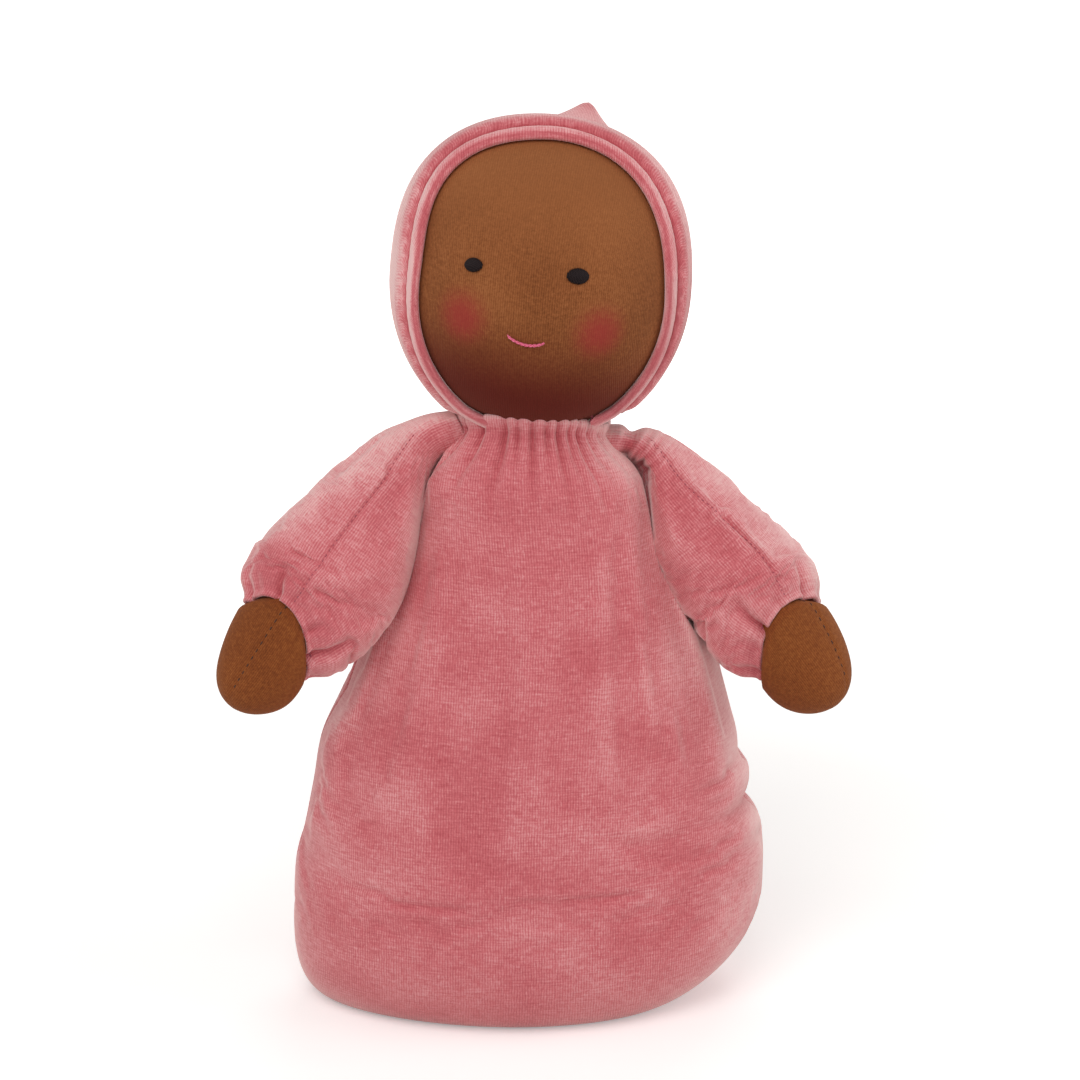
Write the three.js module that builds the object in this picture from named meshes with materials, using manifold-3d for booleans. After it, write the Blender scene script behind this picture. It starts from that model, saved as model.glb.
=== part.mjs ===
// A hand-sewn cuddle doll: a wool head in brown cotton jersey and a pointed velour hood, on a
// grain-weighted velour sack with two stuffed sleeves and two jersey hands. It has no legs.
// Millimetres, +Z up, the sack's flat base at zero. The doll looks along -Y, its own left is +X.

import * as THREE from 'three';
import { mergeVertices } from 'three/addons/utils/BufferGeometryUtils.js';
import Module from 'manifold-3d';

const wasm = await Module();
wasm.setup();

const degree = Math.PI / 180;

// Clearances
const seamGap = 0.3; // between neighbouring pieces
const overrun = 40; // how far a cutter passes what it cuts

// Neck: the bound tail of the head, and its winding
const neck = {
  radius: 17,
  tailLength: 46,
  tieThread: 2,
};

// Sack
const sack = {
  height: 203.5,
  hipHeight: 35,
  hipHalfWidth: 81.5,
  hipHalfDepth: 50,
  footHalfWidth: 54,
  footHalfDepth: 31,
  wall: 1.6,
  baseCut: 0.5, // how deep the rounded underside is cut flat
};
const sackTaperPowerShare = 1.6; // how soon the sack narrows above the hip
const shoulderPowerShare = 1; // how round its shoulders are

// Gathered neckline
const neckline = {
  pleatDepth: 1.7,
  pleatReach: 48, // how far the pleats fan down
  scallop: 1.1, // how far the pleats lift the top edge
  threadDiameter: 1.2,
  casing: 6.5, // how far the drawn thread lies under the edge
};
const pleatCount = 18;
const pleatFadePowerShare = 1.5; // how soon a pleat fades down the sack

// Weight bag
const pouch = {
  height: 44,
  wall: 1,
  mouthRadius: 4,
};
const pouchWidthShare = 0.86; // of the sack's inside

// Head: layers from the jersey inwards
const head = {
  radius: 46.4,
  halfHeight: 49,
  jersey: 1.2,
  gauze: 0.7,
  chinRise: 4, // from the neck's pivot to the jersey's lower edge
};
const headTurn = -10.5 * degree;
const headPitch = -8 * degree;
const headRoll = 5 * degree;

// Face
const face = {
  eyeHalfWidth: 3.4,
  eyeHalfHeight: 2.5,
  eyeBulge: 1.3,
  mouthWidth: 13,
  mouthThread: 0.8,
};
const eyeAzimuth = 20.9 * degree;
const eyeElevation = 5.5 * degree;
const mouthElevation = -22 * degree;
const mouthAside = 2 * degree; // towards the doll's left
const mouthDip = 3.4 * degree;

// Hood
const hood = {
  wall: 2.4,
  openingHalfWidth: 40.6,
  openingDrop: 7.6, // of the opening's widest place below the head's centre
  openingUp: 46.9, // from there to the opening's top
  openingDown: 41.5, // and to its foot
  hemWidth: 8,
  hemRise: 0.6, // how far the turned edge stands proud
  collarEase: 4, // between the neckline and the hood's lower edge
  pointHeight: 13, // above the hood
  pointBase: 17,
  pointTip: 2.6,
};
const openingTurn = 6.5 * degree; // from the face
const openingLean = 6 * degree;
const openingRoll = -5 * degree;
const openingWidest = 78 * degree; // from the opening's axis, at the hood's lower ends
const pointAzimuth = 8 * degree;
const pointElevation = 60 * degree;
const pointFlankPowerShare = 1.7; // how hollow the point's flanks are

// Shoulder: the flat, unstuffed top of each sleeve
const shoulder = {
  drop: 8, // of the crease under the neckline
  standOut: 9.5, // of the crease from the sack's side
  creaseRadius: 6.5,
  tuckRadius: 6.2,
  tuckRoot: 6,
  creaseAhead: 2,
};

// Arm
const arm = {
  length: 85,
  fullRadius: 22.5,
  wall: 1.6,
  cuffPleatDepth: 1.4,
  cuffPleatReach: 24,
  cuffThread: 1.2,
  sideClearance: 1.6, // from the sack as the arm swings past it
};
const cuffPleatCount = 8;
const armSplay = 37.8 * degree;
const armForward = 16 * degree;
const fullestShare = 0.7; // of the arm's length
const swellPowerShare = 0.8; // how soon the sleeve fills out below the crease
const cuffPowerShare = 2.2; // how late it draws in to the cuff

// Hand
const hand = {
  neckRadius: 13.5,
  fullRadius: 15,
  length: 27,
  wristAhead: 2.5, // of the wrist's pivot past the cuff
  jersey: 1,
};
const handFullestShare = 0.35;

// Facets
const sackColumns = 72;
const liningColumns = 36;
const headColumns = 32;
const coreColumns = 16;
const hoodColumns = 36;
const sleeveColumns = 32;
const sleeveLiningColumns = 16;
const handColumns = 16;
const threadColumns = 24;
const threadSides = 5;
const eyeColumns = 16;

// Sizes that follow from those above
const tieReach = neck.radius + seamGap + neck.tieThread;
const drawnRadius = tieReach + 2 * seamGap;
const neckHalf = drawnRadius + sack.wall + neckline.pleatDepth;
const pivotHeight = sack.height;
const chinRadius = tieReach + seamGap;
const stretch = head.halfHeight / head.radius;
const headRise = head.chinRise + head.halfHeight * Math.sqrt(1 - (chinRadius / head.radius) ** 2);
const creaseHeight = sack.height - shoulder.drop;
const creaseAside = sackHalf(creaseHeight, sack.hipHalfWidth, sack.footHalfWidth) + shoulder.standOut;
const cuffHole = hand.neckRadius + seamGap;
const cuffRadius = cuffHole + arm.wall + arm.cuffPleatDepth;
const tuckShort = shoulder.creaseRadius / 4; // of the tuck's end from the crease
const stuffedLength = arm.length + hand.wristAhead - hand.neckRadius - seamGap;

const velour = { color: 0xc9707a, roughness: 0.92, metalness: 0 };
const jersey = { color: 0x8f5530, roughness: 0.85, metalness: 0 };
const stitching = { color: 0xb8606c, roughness: 0.7, metalness: 0 };
const darkSilk = { color: 0x33241f, roughness: 0.5, metalness: 0 };
const pinkSilk = { color: 0xd9607c, roughness: 0.5, metalness: 0 };
const wool = { color: 0xe9e0cf, roughness: 1, metalness: 0 };
const gauze = { color: 0xf2ecdf, roughness: 1, metalness: 0 };
const linen = { color: 0xd8cdb4, roughness: 0.95, metalness: 0 };
const grain = { color: 0xb08a52, roughness: 0.8, metalness: 0 };

const doll = new THREE.Group();

// Solids

// A closed geometry as a solid with its faces outwards.
function solid(geometry) {
  const bare = geometry.clone();
  bare.deleteAttribute('normal');
  bare.deleteAttribute('uv');
  const merged = mergeVertices(bare, 1e-4);
  const corners = merged.index.array;
  const triVerts = new Uint32Array(corners.length);
  const flip = signedVolume(merged) < 0;
  for (let i = 0; i < corners.length; i += 3) {
    triVerts[i] = corners[i];
    triVerts[i + 1] = corners[i + (flip ? 2 : 1)];
    triVerts[i + 2] = corners[i + (flip ? 1 : 2)];
  }
  const vertProperties = new Float32Array(merged.getAttribute('position').array);
  return new wasm.Manifold(new wasm.Mesh({ numProp: 3, vertProperties, triVerts }));
}

function signedVolume(geometry) {
  const place = geometry.getAttribute('position');
  const [a, b, c] = [new THREE.Vector3(), new THREE.Vector3(), new THREE.Vector3()];
  let sum = 0;
  for (let i = 0; i < geometry.index.count; i += 3) {
    a.fromBufferAttribute(place, geometry.index.getX(i));
    b.fromBufferAttribute(place, geometry.index.getX(i + 1));
    c.fromBufferAttribute(place, geometry.index.getX(i + 2));
    sum += a.dot(b.cross(c));
  }
  return sum;
}

// A solid's surface as a geometry.
function surface(made) {
  const mesh = made.getMesh();
  const geometry = new THREE.BufferGeometry();
  geometry.setAttribute('position', new THREE.BufferAttribute(mesh.vertProperties, 3));
  geometry.setIndex(new THREE.BufferAttribute(mesh.triVerts, 1));
  geometry.computeVertexNormals();
  return geometry;
}

// One named piece in a group.
function add(group, name, made, finish) {
  const mesh = new THREE.Mesh(surface(made), new THREE.MeshStandardMaterial(finish));
  mesh.name = name;
  group.add(mesh);
  return mesh;
}

// One ring of points, from a function of the angle.
function ring(columns, place) {
  return Array.from({ length: columns }, (_, i) => place((i / columns) * 2 * Math.PI));
}

// A closed skin over a stack of rings with as many points each, and a fan over both ends.
function loft(rings) {
  const columns = rings[0].length;
  const points = rings.flat();
  const index = [];
  for (let row = 0; row + 1 < rings.length; row++) {
    for (let i = 0; i < columns; i++) {
      const a = row * columns + i;
      const b = row * columns + ((i + 1) % columns);
      index.push(a, b, b + columns, a, b + columns, a + columns);
    }
  }
  const last = (rings.length - 1) * columns;
  const ends = [rings[0], rings[rings.length - 1]];
  ends.forEach((end, side) => {
    const middle = points.length;
    points.push(end.reduce((sum, p) => sum.add(p), new THREE.Vector3()).divideScalar(columns));
    for (let i = 0; i < columns; i++) {
      const a = side * last + i;
      const b = side * last + ((i + 1) % columns);
      index.push(middle, side ? a : b, side ? b : a);
    }
  });
  const geometry = new THREE.BufferGeometry().setFromPoints(points);
  geometry.setIndex(index);
  return solid(geometry);
}

// A closed skin over sections that follow each other round a loop.
function closedLoop(sections) {
  const count = sections.length;
  const sides = sections[0].length;
  const index = [];
  for (let row = 0; row < count; row++) {
    const next = (row + 1) % count;
    for (let i = 0; i < sides; i++) {
      const j = (i + 1) % sides;
      index.push(row * sides + i, row * sides + j, next * sides + j);
      index.push(row * sides + i, next * sides + j, next * sides + i);
    }
  }
  const geometry = new THREE.BufferGeometry().setFromPoints(sections.flat());
  geometry.setIndex(index);
  return solid(geometry);
}

// A closed loop of thread: a round section carried along a ring-shaped path.
function threadLoop(path, diameter, sides) {
  const count = path.length;
  const rings = path.map((at, i) => {
    const before = path[(i + count - 1) % count];
    const after = path[(i + 1) % count];
    const along = after.clone().sub(before).normalize();
    const up = new THREE.Vector3(0, 0, 1);
    const out = along.clone().cross(up).normalize();
    up.crossVectors(out, along);
    return ring(sides, (angle) =>
      at.clone()
        .addScaledVector(out, (diameter / 2) * Math.cos(angle))
        .addScaledVector(up, (diameter / 2) * Math.sin(angle)));
  });
  return closedLoop(rings);
}

function box(width, depth, height, x, y, z) {
  return solid(new THREE.BoxGeometry(width, depth, height).translate(x, y, z));
}

function ball(radius, columns) {
  return solid(new THREE.SphereGeometry(radius, columns, columns / 2));
}

// The radius of a faceted hole that a round piece turns in.
function turningHole(radius, columns) {
  return (radius + seamGap) / Math.cos(Math.PI / columns);
}

// A round bar along Z between two heights.
function bar(radius, from, to, columns) {
  const geometry = new THREE.CylinderGeometry(radius, radius, to - from, columns);
  return solid(geometry.rotateX(Math.PI / 2).translate(0, 0, (from + to) / 2));
}

// A turned solid about Z from radius and height pairs.
function turned(pairs, columns) {
  const profile = pairs.map(([radius, height]) => new THREE.Vector2(radius, height));
  return solid(new THREE.LatheGeometry(profile, columns).rotateX(Math.PI / 2));
}

// Sack

// Half of the sack's size at a height, from its neck, hip and foot sizes.
function sackHalf(height, hipHalf, footHalf) {
  if (height < sack.hipHeight) {
    const depth = (sack.hipHeight - height) / (sack.hipHeight + sack.baseCut);
    return footHalf + (hipHalf - footHalf) * Math.sqrt(1 - depth * depth);
  }
  const rise = Math.min((height - sack.hipHeight) / (sack.height - sack.hipHeight), 1);
  const fullness = (1 - rise ** sackTaperPowerShare) ** shoulderPowerShare;
  return neckHalf + (hipHalf - neckHalf) * fullness;
}

function pleatDepthAt(height) {
  const reach = Math.max(1 - (sack.height - height) / neckline.pleatReach, 0);
  return neckline.pleatDepth * reach ** pleatFadePowerShare;
}

// Heights of the sack's rings: close together round the foot, and towards the neckline.
function sackHeights(from, to, rollShares, riseShares) {
  const low = rollShares.map((share) => from + (sack.hipHeight - from) * share * share);
  const high = riseShares.map((share) => sack.hipHeight + (sack.height - sack.hipHeight) * share);
  return [from, ...low, ...high.filter((height) => height < to), to];
}

// The outside, with its pleats and scalloped edge.
function sackOutside() {
  const rollShares = [0.2, 0.42, 0.68, 1];
  const riseShares = [0.13, 0.27, 0.41, 0.54, 0.66, 0.76, 0.85, 0.92, 0.97];
  const rings = sackHeights(-sack.baseCut, sack.height, rollShares, riseShares).map((height) => {
    const across = sackHalf(height, sack.hipHalfWidth, sack.footHalfWidth);
    const deep = sackHalf(height, sack.hipHalfDepth, sack.footHalfDepth);
    const pleat = pleatDepthAt(height);
    const lift = height < sack.height ? 0 : neckline.scallop;
    return ring(sackColumns, (angle) => {
      const fold = Math.cos(pleatCount * angle);
      return new THREE.Vector3(
        (across + pleat * fold) * Math.cos(angle),
        (deep + pleat * fold) * Math.sin(angle),
        height - lift * (1 - fold) / 2,
      );
    });
  });
  const ground = box(4 * sack.hipHalfWidth, 4 * sack.hipHalfDepth, overrun, 0, 0, -overrun / 2);
  return loft(rings).subtract(ground);
}

// What fits inside the sack, a given distance in from its fabric.
function sackInside(inset, top) {
  const rollShares = [0.3, 0.6, 1];
  const riseShares = [0.27, 0.54, 0.76, 0.92, 0.97, 1];
  return loft(sackHeights(sack.wall + inset, top, rollShares, riseShares).map((height) => {
    const all = sack.wall + inset + pleatDepthAt(Math.min(height, sack.height));
    const across = sackHalf(height, sack.hipHalfWidth, sack.footHalfWidth) - all;
    const deep = sackHalf(height, sack.hipHalfDepth, sack.footHalfDepth) - all;
    return ring(liningColumns, (angle) =>
      new THREE.Vector3(across * Math.cos(angle), deep * Math.sin(angle), height));
  }));
}

// The seats that both shoulder tucks turn in.
function shoulderSeats() {
  const seat = tuckBlank(seamGap, overrun);
  return seat.add(seat.mirror([1, 0, 0]));
}

function addSack() {
  const shell = sackOutside().subtract(sackInside(0, sack.height + overrun)).subtract(shoulderSeats());
  const half = 2 * sack.hipHalfDepth;
  const apart = (half + seamGap) / 2;
  const front = box(4 * sack.hipHalfWidth, half, 4 * sack.height, 0, -apart, 0);
  const back = box(4 * sack.hipHalfWidth, half, 4 * sack.height, 0, apart, 0);
  add(doll, 'body_front_panel', shell.intersect(front), velour);
  add(doll, 'body_back_panel', shell.intersect(back), velour);

  const threadRadius = drawnRadius - seamGap - neckline.threadDiameter / 2;
  const threadHeight = sack.height - neckline.casing;
  const path = ring(threadColumns, (angle) =>
    new THREE.Vector3(threadRadius * Math.cos(angle), threadRadius * Math.sin(angle), threadHeight));
  add(doll, 'neckline_gather_thread', threadLoop(path, neckline.threadDiameter, threadSides), stitching);

  const fillTop = threadHeight - neckline.threadDiameter / 2 - seamGap;
  const tailHole = turningHole(neck.radius, coreColumns);
  const tail = bar(tailHole, pivotHeight - neck.tailLength - seamGap, fillTop + overrun, coreColumns);
  const filling = sackInside(seamGap, fillTop)
    .subtract(tail)
    .subtract(pouchBlank(-2 * seamGap))
    .subtract(shoulderSeats());
  add(doll, 'torso_wool_filling', filling, wool);
}

// Weight bag

// The bag's form, a given distance inside its outside.
function pouchBlank(inset) {
  const floor = sack.wall + seamGap;
  const rollShares = [0, 0.35, 0.65, 0.86, 0.97];
  const across = pouchWidthShare * (sack.footHalfWidth + sack.hipHalfWidth) / 2;
  const deep = pouchWidthShare * (sack.footHalfDepth + sack.hipHalfDepth) / 2;
  const crown = pouch.height - inset - floor;
  const rings = rollShares.map((share) => {
    const round = Math.sqrt(1 - share * share);
    return ring(threadColumns, (angle) => new THREE.Vector3(
      (across * round - inset) * Math.cos(angle),
      (deep * round - inset) * Math.sin(angle),
      share === 0 ? floor + inset : floor + crown * share,
    ));
  });
  return loft(rings);
}

function addPouch() {
  const mouth = bar(pouch.mouthRadius, pouch.height / 2, pouch.height + overrun, coreColumns);
  const bag = pouchBlank(0).subtract(pouchBlank(pouch.wall)).subtract(mouth);
  add(doll, 'base_weight_pouch', bag, linen);
  add(doll, 'base_weight_grain', pouchBlank(pouch.wall + seamGap), grain);
}

// Neck

function addNeck() {
  const tailRound = neck.radius / 2;
  const bottom = pivotHeight - neck.tailLength;
  const pairs = [[0, bottom], [neck.radius - tailRound / 2, bottom], [neck.radius, bottom + tailRound]];
  const steps = 7;
  for (let i = 0; i <= steps; i++) {
    const angle = (i / steps) * Math.PI / 2;
    pairs.push([neck.radius * Math.cos(angle), pivotHeight + neck.radius * Math.sin(angle)]);
  }
  pairs[pairs.length - 1][0] = 0;
  add(doll, 'neck_stub', turned(pairs, coreColumns), wool);

  const tieRadius = neck.radius + seamGap + neck.tieThread / 2;
  const path = ring(threadColumns, (angle) =>
    new THREE.Vector3(tieRadius * Math.cos(angle), tieRadius * Math.sin(angle), pivotHeight));
  add(doll, 'neck_tie_thread', threadLoop(path, neck.tieThread, threadSides), linen);
}

// Head

const headGroup = new THREE.Group();
headGroup.position.set(0, 0, pivotHeight + headRise);
headGroup.rotation.set(headPitch, headRoll, headTurn, 'ZYX');
headGroup.updateMatrix();
doll.add(headGroup);

// A cutter that stands in the doll's frame, as the head sees it.
function asSeenByHead(made) {
  return made.transform(headGroup.matrix.clone().invert().toArray());
}

// Radius and forward distance pairs along a round layer, between two angles from the face's middle.
function layerArc(radius, from, to, steps) {
  return Array.from({ length: steps + 1 }, (_, i) => {
    const angle = from + (to - from) * (i / steps);
    return [radius * Math.sin(angle), radius * Math.cos(angle)];
  });
}

// A layer of the head: a profile turned about an axis that leans as the hood's opening does, and
// stretched upwards.
function headLayer(pairs, columns) {
  const lean = new THREE.Matrix4().makeRotationX(Math.PI / 2 + openingLean);
  const tall = new THREE.Matrix4().makeScale(1, 1, stretch);
  return turned(pairs, columns).transform(tall.multiply(lean).toArray());
}

function fullLayer(radius, columns) {
  const pairs = layerArc(radius, 0, Math.PI, columns / 2);
  pairs[0][0] = 0;
  pairs[pairs.length - 1][0] = 0;
  return headLayer(pairs, columns);
}

function addHeadLayers() {
  const liningRadius = head.radius - head.jersey;
  const gauzeRadius = liningRadius - seamGap;
  const coreRadius = gauzeRadius - head.gauze - seamGap;
  const hole = asSeenByHead(bar(chinRadius, pivotHeight - overrun, pivotHeight + overrun / 2, headColumns));
  const socket = asSeenByHead(ball(neck.radius + seamGap, headColumns).translate(0, 0, pivotHeight));

  const skin = fullLayer(head.radius, headColumns).subtract(fullLayer(liningRadius, coreColumns));
  add(headGroup, 'head_skin', skin.subtract(hole), jersey);
  const within = fullLayer(gauzeRadius - head.gauze, coreColumns).add(hole);
  add(headGroup, 'head_gauze_tube', fullLayer(gauzeRadius, coreColumns).subtract(within), gauze);
  add(headGroup, 'head_wool_core', fullLayer(coreRadius, coreColumns).subtract(socket), wool);
}

// A place on the face, by its angles from the face's middle and its height above the jersey.
function onFace(azimuth, elevation, above) {
  const radius = head.radius + above;
  return new THREE.Vector3(
    radius * Math.sin(azimuth) * Math.cos(elevation),
    -radius * Math.cos(azimuth) * Math.cos(elevation),
    radius * Math.sin(elevation) * stretch,
  );
}

function addFace() {
  const clear = fullLayer(head.radius + seamGap, headColumns);
  for (const [name, side] of [['eye_right', -1], ['eye_left', 1]]) {
    const at = onFace(side * eyeAzimuth, eyeElevation, 0);
    const place = new THREE.Matrix4().makeTranslation(at.x, at.y, at.z)
      .multiply(new THREE.Matrix4().makeRotationZ(side * eyeAzimuth))
      .multiply(new THREE.Matrix4().makeScale(face.eyeHalfWidth, face.eyeBulge, face.eyeHalfHeight));
    add(headGroup, name, ball(1, eyeColumns).transform(place.toArray()).subtract(clear), darkSilk);
  }
  const steps = 10;
  const spread = face.mouthWidth / head.radius / 2;
  const line = new THREE.CatmullRomCurve3(Array.from({ length: steps + 1 }, (_, i) => {
    const along = 2 * (i / steps) - 1;
    const dip = mouthDip * (1 - along * along);
    return onFace(mouthAside + along * spread, mouthElevation - dip, seamGap + face.mouthThread / 2);
  }));
  const section = new THREE.Shape().absarc(0, 0, face.mouthThread / 2, 0, 2 * Math.PI);
  const thread = new THREE.ExtrudeGeometry(section, { steps, curveSegments: 3, extrudePath: line });
  add(headGroup, 'mouth_stitch', solid(thread), pinkSilk);
}

// Hood

const openingAim = new THREE.Matrix4().makeRotationZ(openingTurn)
  .multiply(new THREE.Matrix4().makeRotationX(-openingLean))
  .multiply(new THREE.Matrix4().makeRotationY(openingRoll));

// A place on the hood: its angle from the opening's axis, its way round from the top, its distance out.
function onHood(polar, around, radius) {
  const place = new THREE.Vector3(
    radius * Math.sin(polar) * Math.sin(around),
    -radius * Math.cos(polar),
    radius * Math.sin(polar) * Math.cos(around),
  );
  place.applyMatrix4(openingAim);
  place.z *= stretch;
  return place;
}

// The opening's edge is an egg, seen from the front. This is its angle from the axis.
function openingEdge(around, radius) {
  const out = Math.sin(around) / hood.openingHalfWidth;
  const reachAt = (half) => {
    const up = Math.cos(around) / half;
    const drop = hood.openingDrop / half;
    const square = out * out + up * up;
    return (Math.sqrt(square - (out * drop) ** 2) - up * drop) / square;
  };
  const upper = reachAt(hood.openingUp);
  const isUpper = upper * Math.cos(around) > -hood.openingDrop;
  const reach = isUpper ? upper : reachAt(hood.openingDown);
  return Math.min(Math.asin(Math.min(reach / radius, 1)), openingWidest);
}

function addHood() {
  // Facets lie inside the round form, so the lining is set out by as much.
  const inner = (head.radius + seamGap) / Math.cos(Math.PI / hoodColumns) ** 2;
  const outer = head.radius + seamGap + hood.wall;
  const collar = neckHalf + hood.collarEase;
  const low = bar(collar, pivotHeight - overrun, pivotHeight + overrun / 2, headColumns);
  const below = asSeenByHead(low);

  // The turned edge: thick at the front, where the fabric folds back on itself.
  const proud = outer + hood.hemRise;
  const roll = (proud - inner) / 2;
  const nose = [-1, -0.5, 0, 0.5, 1].map((turn) => [
    roll - roll * Math.cos(turn * Math.PI / 2),
    inner + roll + roll * Math.sin(turn * Math.PI / 2),
  ]);
  const half = hood.hemWidth / 2;
  const section = [...nose, [half, proud], [hood.hemWidth, outer], [hood.hemWidth, inner], [half, inner]];
  const sections = ring(hoodColumns, (around) => section.map(([back, radius]) =>
    onHood(openingEdge(around, outer) + back / outer, around, radius)));
  add(headGroup, 'hood_hem', closedLoop(sections).subtract(below), velour);

  const start = (hood.hemWidth + seamGap) / outer;
  const shellRing = (share, radius) => ring(hoodColumns, (around) => {
    const edge = openingEdge(around, outer) + start;
    return onHood(edge + (Math.PI - edge) * share, around, radius);
  });
  const backShares = [0, 0.11, 0.22, 0.33, 0.44, 0.55, 0.66, 0.77, 0.88, 0.98];
  const outside = backShares.map((share) => shellRing(share, outer));
  const inside = backShares.map((share) => shellRing(share, inner)).reverse();
  const shell = loft([...inside, ...outside]);
  add(headGroup, 'hood_shell', shell.add(hoodPoint(outer, inner)).subtract(below), velour);
}

// The small point at the crown's back: hollow flanks and a round tip.
function hoodPoint(outer, inner) {
  const flankShares = [0, 0.25, 0.5, 0.75, 0.92];
  const foot = outer * Math.cos(Math.asin(hood.pointBase / outer)) - hood.wall / 2;
  const rise = outer + hood.pointHeight - foot;
  const pairs = flankShares.map((share) => [
    hood.pointTip + (hood.pointBase - hood.pointTip) * (1 - share) ** pointFlankPowerShare,
    foot + rise * share,
  ]);
  const cone = turned([[0, foot], ...pairs, [0, foot + rise]], coreColumns);
  const aim = new THREE.Matrix4().makeRotationZ(-pointAzimuth)
    .multiply(new THREE.Matrix4().makeRotationX(pointElevation - Math.PI / 2));
  const tall = new THREE.Matrix4().makeScale(1, 1, stretch);
  return cone.transform(tall.multiply(aim).toArray()).subtract(fullLayer(inner, headColumns));
}

// Shoulders

// The tuck's form on the +X side, grown by a clearance, with its outer end moved out.
function tuckBlank(clear, longer) {
  const from = creaseAside - shoulder.creaseRadius - seamGap - shoulder.tuckRoot - clear;
  const to = creaseAside - tuckShort + longer;
  const radius = shoulder.tuckRadius + clear;
  return bar(radius, from, to, coreColumns)
    .transform(new THREE.Matrix4().makeRotationY(Math.PI / 2).toArray())
    .translate(0, -shoulder.creaseAhead, creaseHeight);
}

function addShoulder(side, name) {
  const socket = ball(shoulder.creaseRadius + seamGap, coreColumns)
    .translate(creaseAside, -shoulder.creaseAhead, creaseHeight);
  const tuck = tuckBlank(0, 0).subtract(socket);
  add(doll, `${name}_shoulder_tuck`, side < 0 ? tuck.mirror([1, 0, 0]) : tuck, velour);
}

// Arms

function sleeveRadius(along) {
  const full = fullestShare * arm.length;
  if (along < full) {
    const swell = Math.sin(Math.PI / 2 * Math.max(along / full, 0) ** swellPowerShare);
    return shoulder.creaseRadius + (arm.fullRadius - shoulder.creaseRadius) * swell;
  }
  const draw = Math.min((along - full) / (arm.length - full), 1);
  return cuffRadius + (arm.fullRadius - cuffRadius) * Math.cos(Math.PI / 2 * draw ** cuffPowerShare);
}

function cuffPleatAt(along) {
  const reach = Math.max(1 - (arm.length - along) / arm.cuffPleatReach, 0);
  return arm.cuffPleatDepth * Math.min(reach, 1);
}

// A ring round the arm's axis in the frame of the arm, which hangs from the crease.
function armRing(side, along, columns, radiusAt) {
  return ring(columns, (angle) => {
    const radius = radiusAt(angle);
    const aside = radius * Math.cos(angle);
    return new THREE.Vector3(
      side * (Math.sin(armSplay) * along + Math.cos(armSplay) * aside),
      radius * Math.sin(angle),
      -Math.cos(armSplay) * along + Math.sin(armSplay) * aside,
    );
  });
}

// All that the arm would meet as it swings about the crease: the tuck, and the sack's side. It is
// turned about the swing's axis, so that the arm cut by it stays clear at every swing.
function swingRoom(side, inset) {
  const depthShares = [0, 0.12, 0.3, 0.6, 0.9, 1.4];
  const rim = seamGap - tuckShort;
  const pairs = depthShares.map((share) => {
    const depth = share * arm.length;
    const half = sackHalf(creaseHeight - depth, sack.hipHalfWidth, sack.footHalfWidth);
    return [depth, Math.max(half - creaseAside + arm.sideClearance, rim) + inset];
  });
  const outer = pairs[pairs.length - 1][0];
  return turned([...pairs, [outer, -2 * creaseAside], [0, -2 * creaseAside]], threadColumns)
    .transform(new THREE.Matrix4().makeRotationY(Math.PI / 2).toArray())
    .transform(new THREE.Matrix4().makeScale(side, 1, 1).toArray());
}

function sleeveOutside(side) {
  const capShares = [0.2, 0.6];
  const bodyShares = [0, 0.07, 0.16, 0.29, 0.44, 0.6, 0.75, 0.86, 0.94, 1];
  const caps = capShares.map((share) => {
    const along = -shoulder.creaseRadius * Math.cos(share * Math.PI / 2);
    const radius = shoulder.creaseRadius * Math.sin(share * Math.PI / 2);
    return armRing(side, along, sleeveColumns, () => radius);
  });
  const rings = bodyShares.map((share) => {
    const along = share * arm.length;
    return armRing(side, along, sleeveColumns, (angle) =>
      sleeveRadius(along) + cuffPleatAt(along) * Math.cos(cuffPleatCount * angle));
  });
  const hanging = loft([...caps, ...rings]).subtract(swingRoom(side, 0));
  return hanging.add(ball(shoulder.creaseRadius, coreColumns));
}

// What fits inside the sleeve, a given distance in from its outside.
function sleeveInside(side, inset, from, to) {
  const rowShares = [0.18, 0.36, 0.54, 0.72];
  const rows = [from, ...rowShares.map((share) => share * arm.length), stuffedLength];
  if (to > stuffedLength) rows.push(arm.length, to);
  const rings = rows.map((along) => {
    const within = Math.min(along, arm.length);
    const radius = sleeveRadius(within) - cuffPleatAt(within) - inset;
    return armRing(side, along, sleeveLiningColumns, () => radius);
  });
  return loft(rings).subtract(swingRoom(side, inset));
}

// The hand's radius and distance pairs past the wrist's pivot: a round neck, then an egg.
function handPairs(inset) {
  const neckRadius = hand.neckRadius - inset;
  const full = hand.fullRadius - inset;
  const fullAt = handFullestShare * hand.length;
  const leave = 15 * degree;
  const arc = [-50, -18, 15].map((turn) => [
    neckRadius * Math.cos(turn * degree),
    neckRadius * Math.sin(turn * degree),
  ]);
  const start = [neckRadius * Math.cos(leave), neckRadius * Math.sin(leave)];
  const swell = [0.35, 0.7].map((share) => [
    start[0] + (full - start[0]) * Math.sin(share * Math.PI / 2),
    start[1] + (fullAt - start[1]) * share,
  ]);
  const tip = [0, 0.4, 0.7, 0.91].map((share) => [
    full * Math.sqrt(1 - share * share),
    fullAt + (hand.length - inset - fullAt) * share,
  ]);
  return [...arc, ...swell, ...tip, [0, hand.length - inset]];
}

// A hand along the arm's axis.
function handSolid(side, pairs) {
  const aim = new THREE.Matrix4().makeRotationY(side * (Math.PI - armSplay))
    .setPosition(
      side * Math.sin(armSplay) * (arm.length + hand.wristAhead),
      0,
      -Math.cos(armSplay) * (arm.length + hand.wristAhead),
    );
  return turned(pairs, handColumns).transform(aim.toArray());
}

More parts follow.
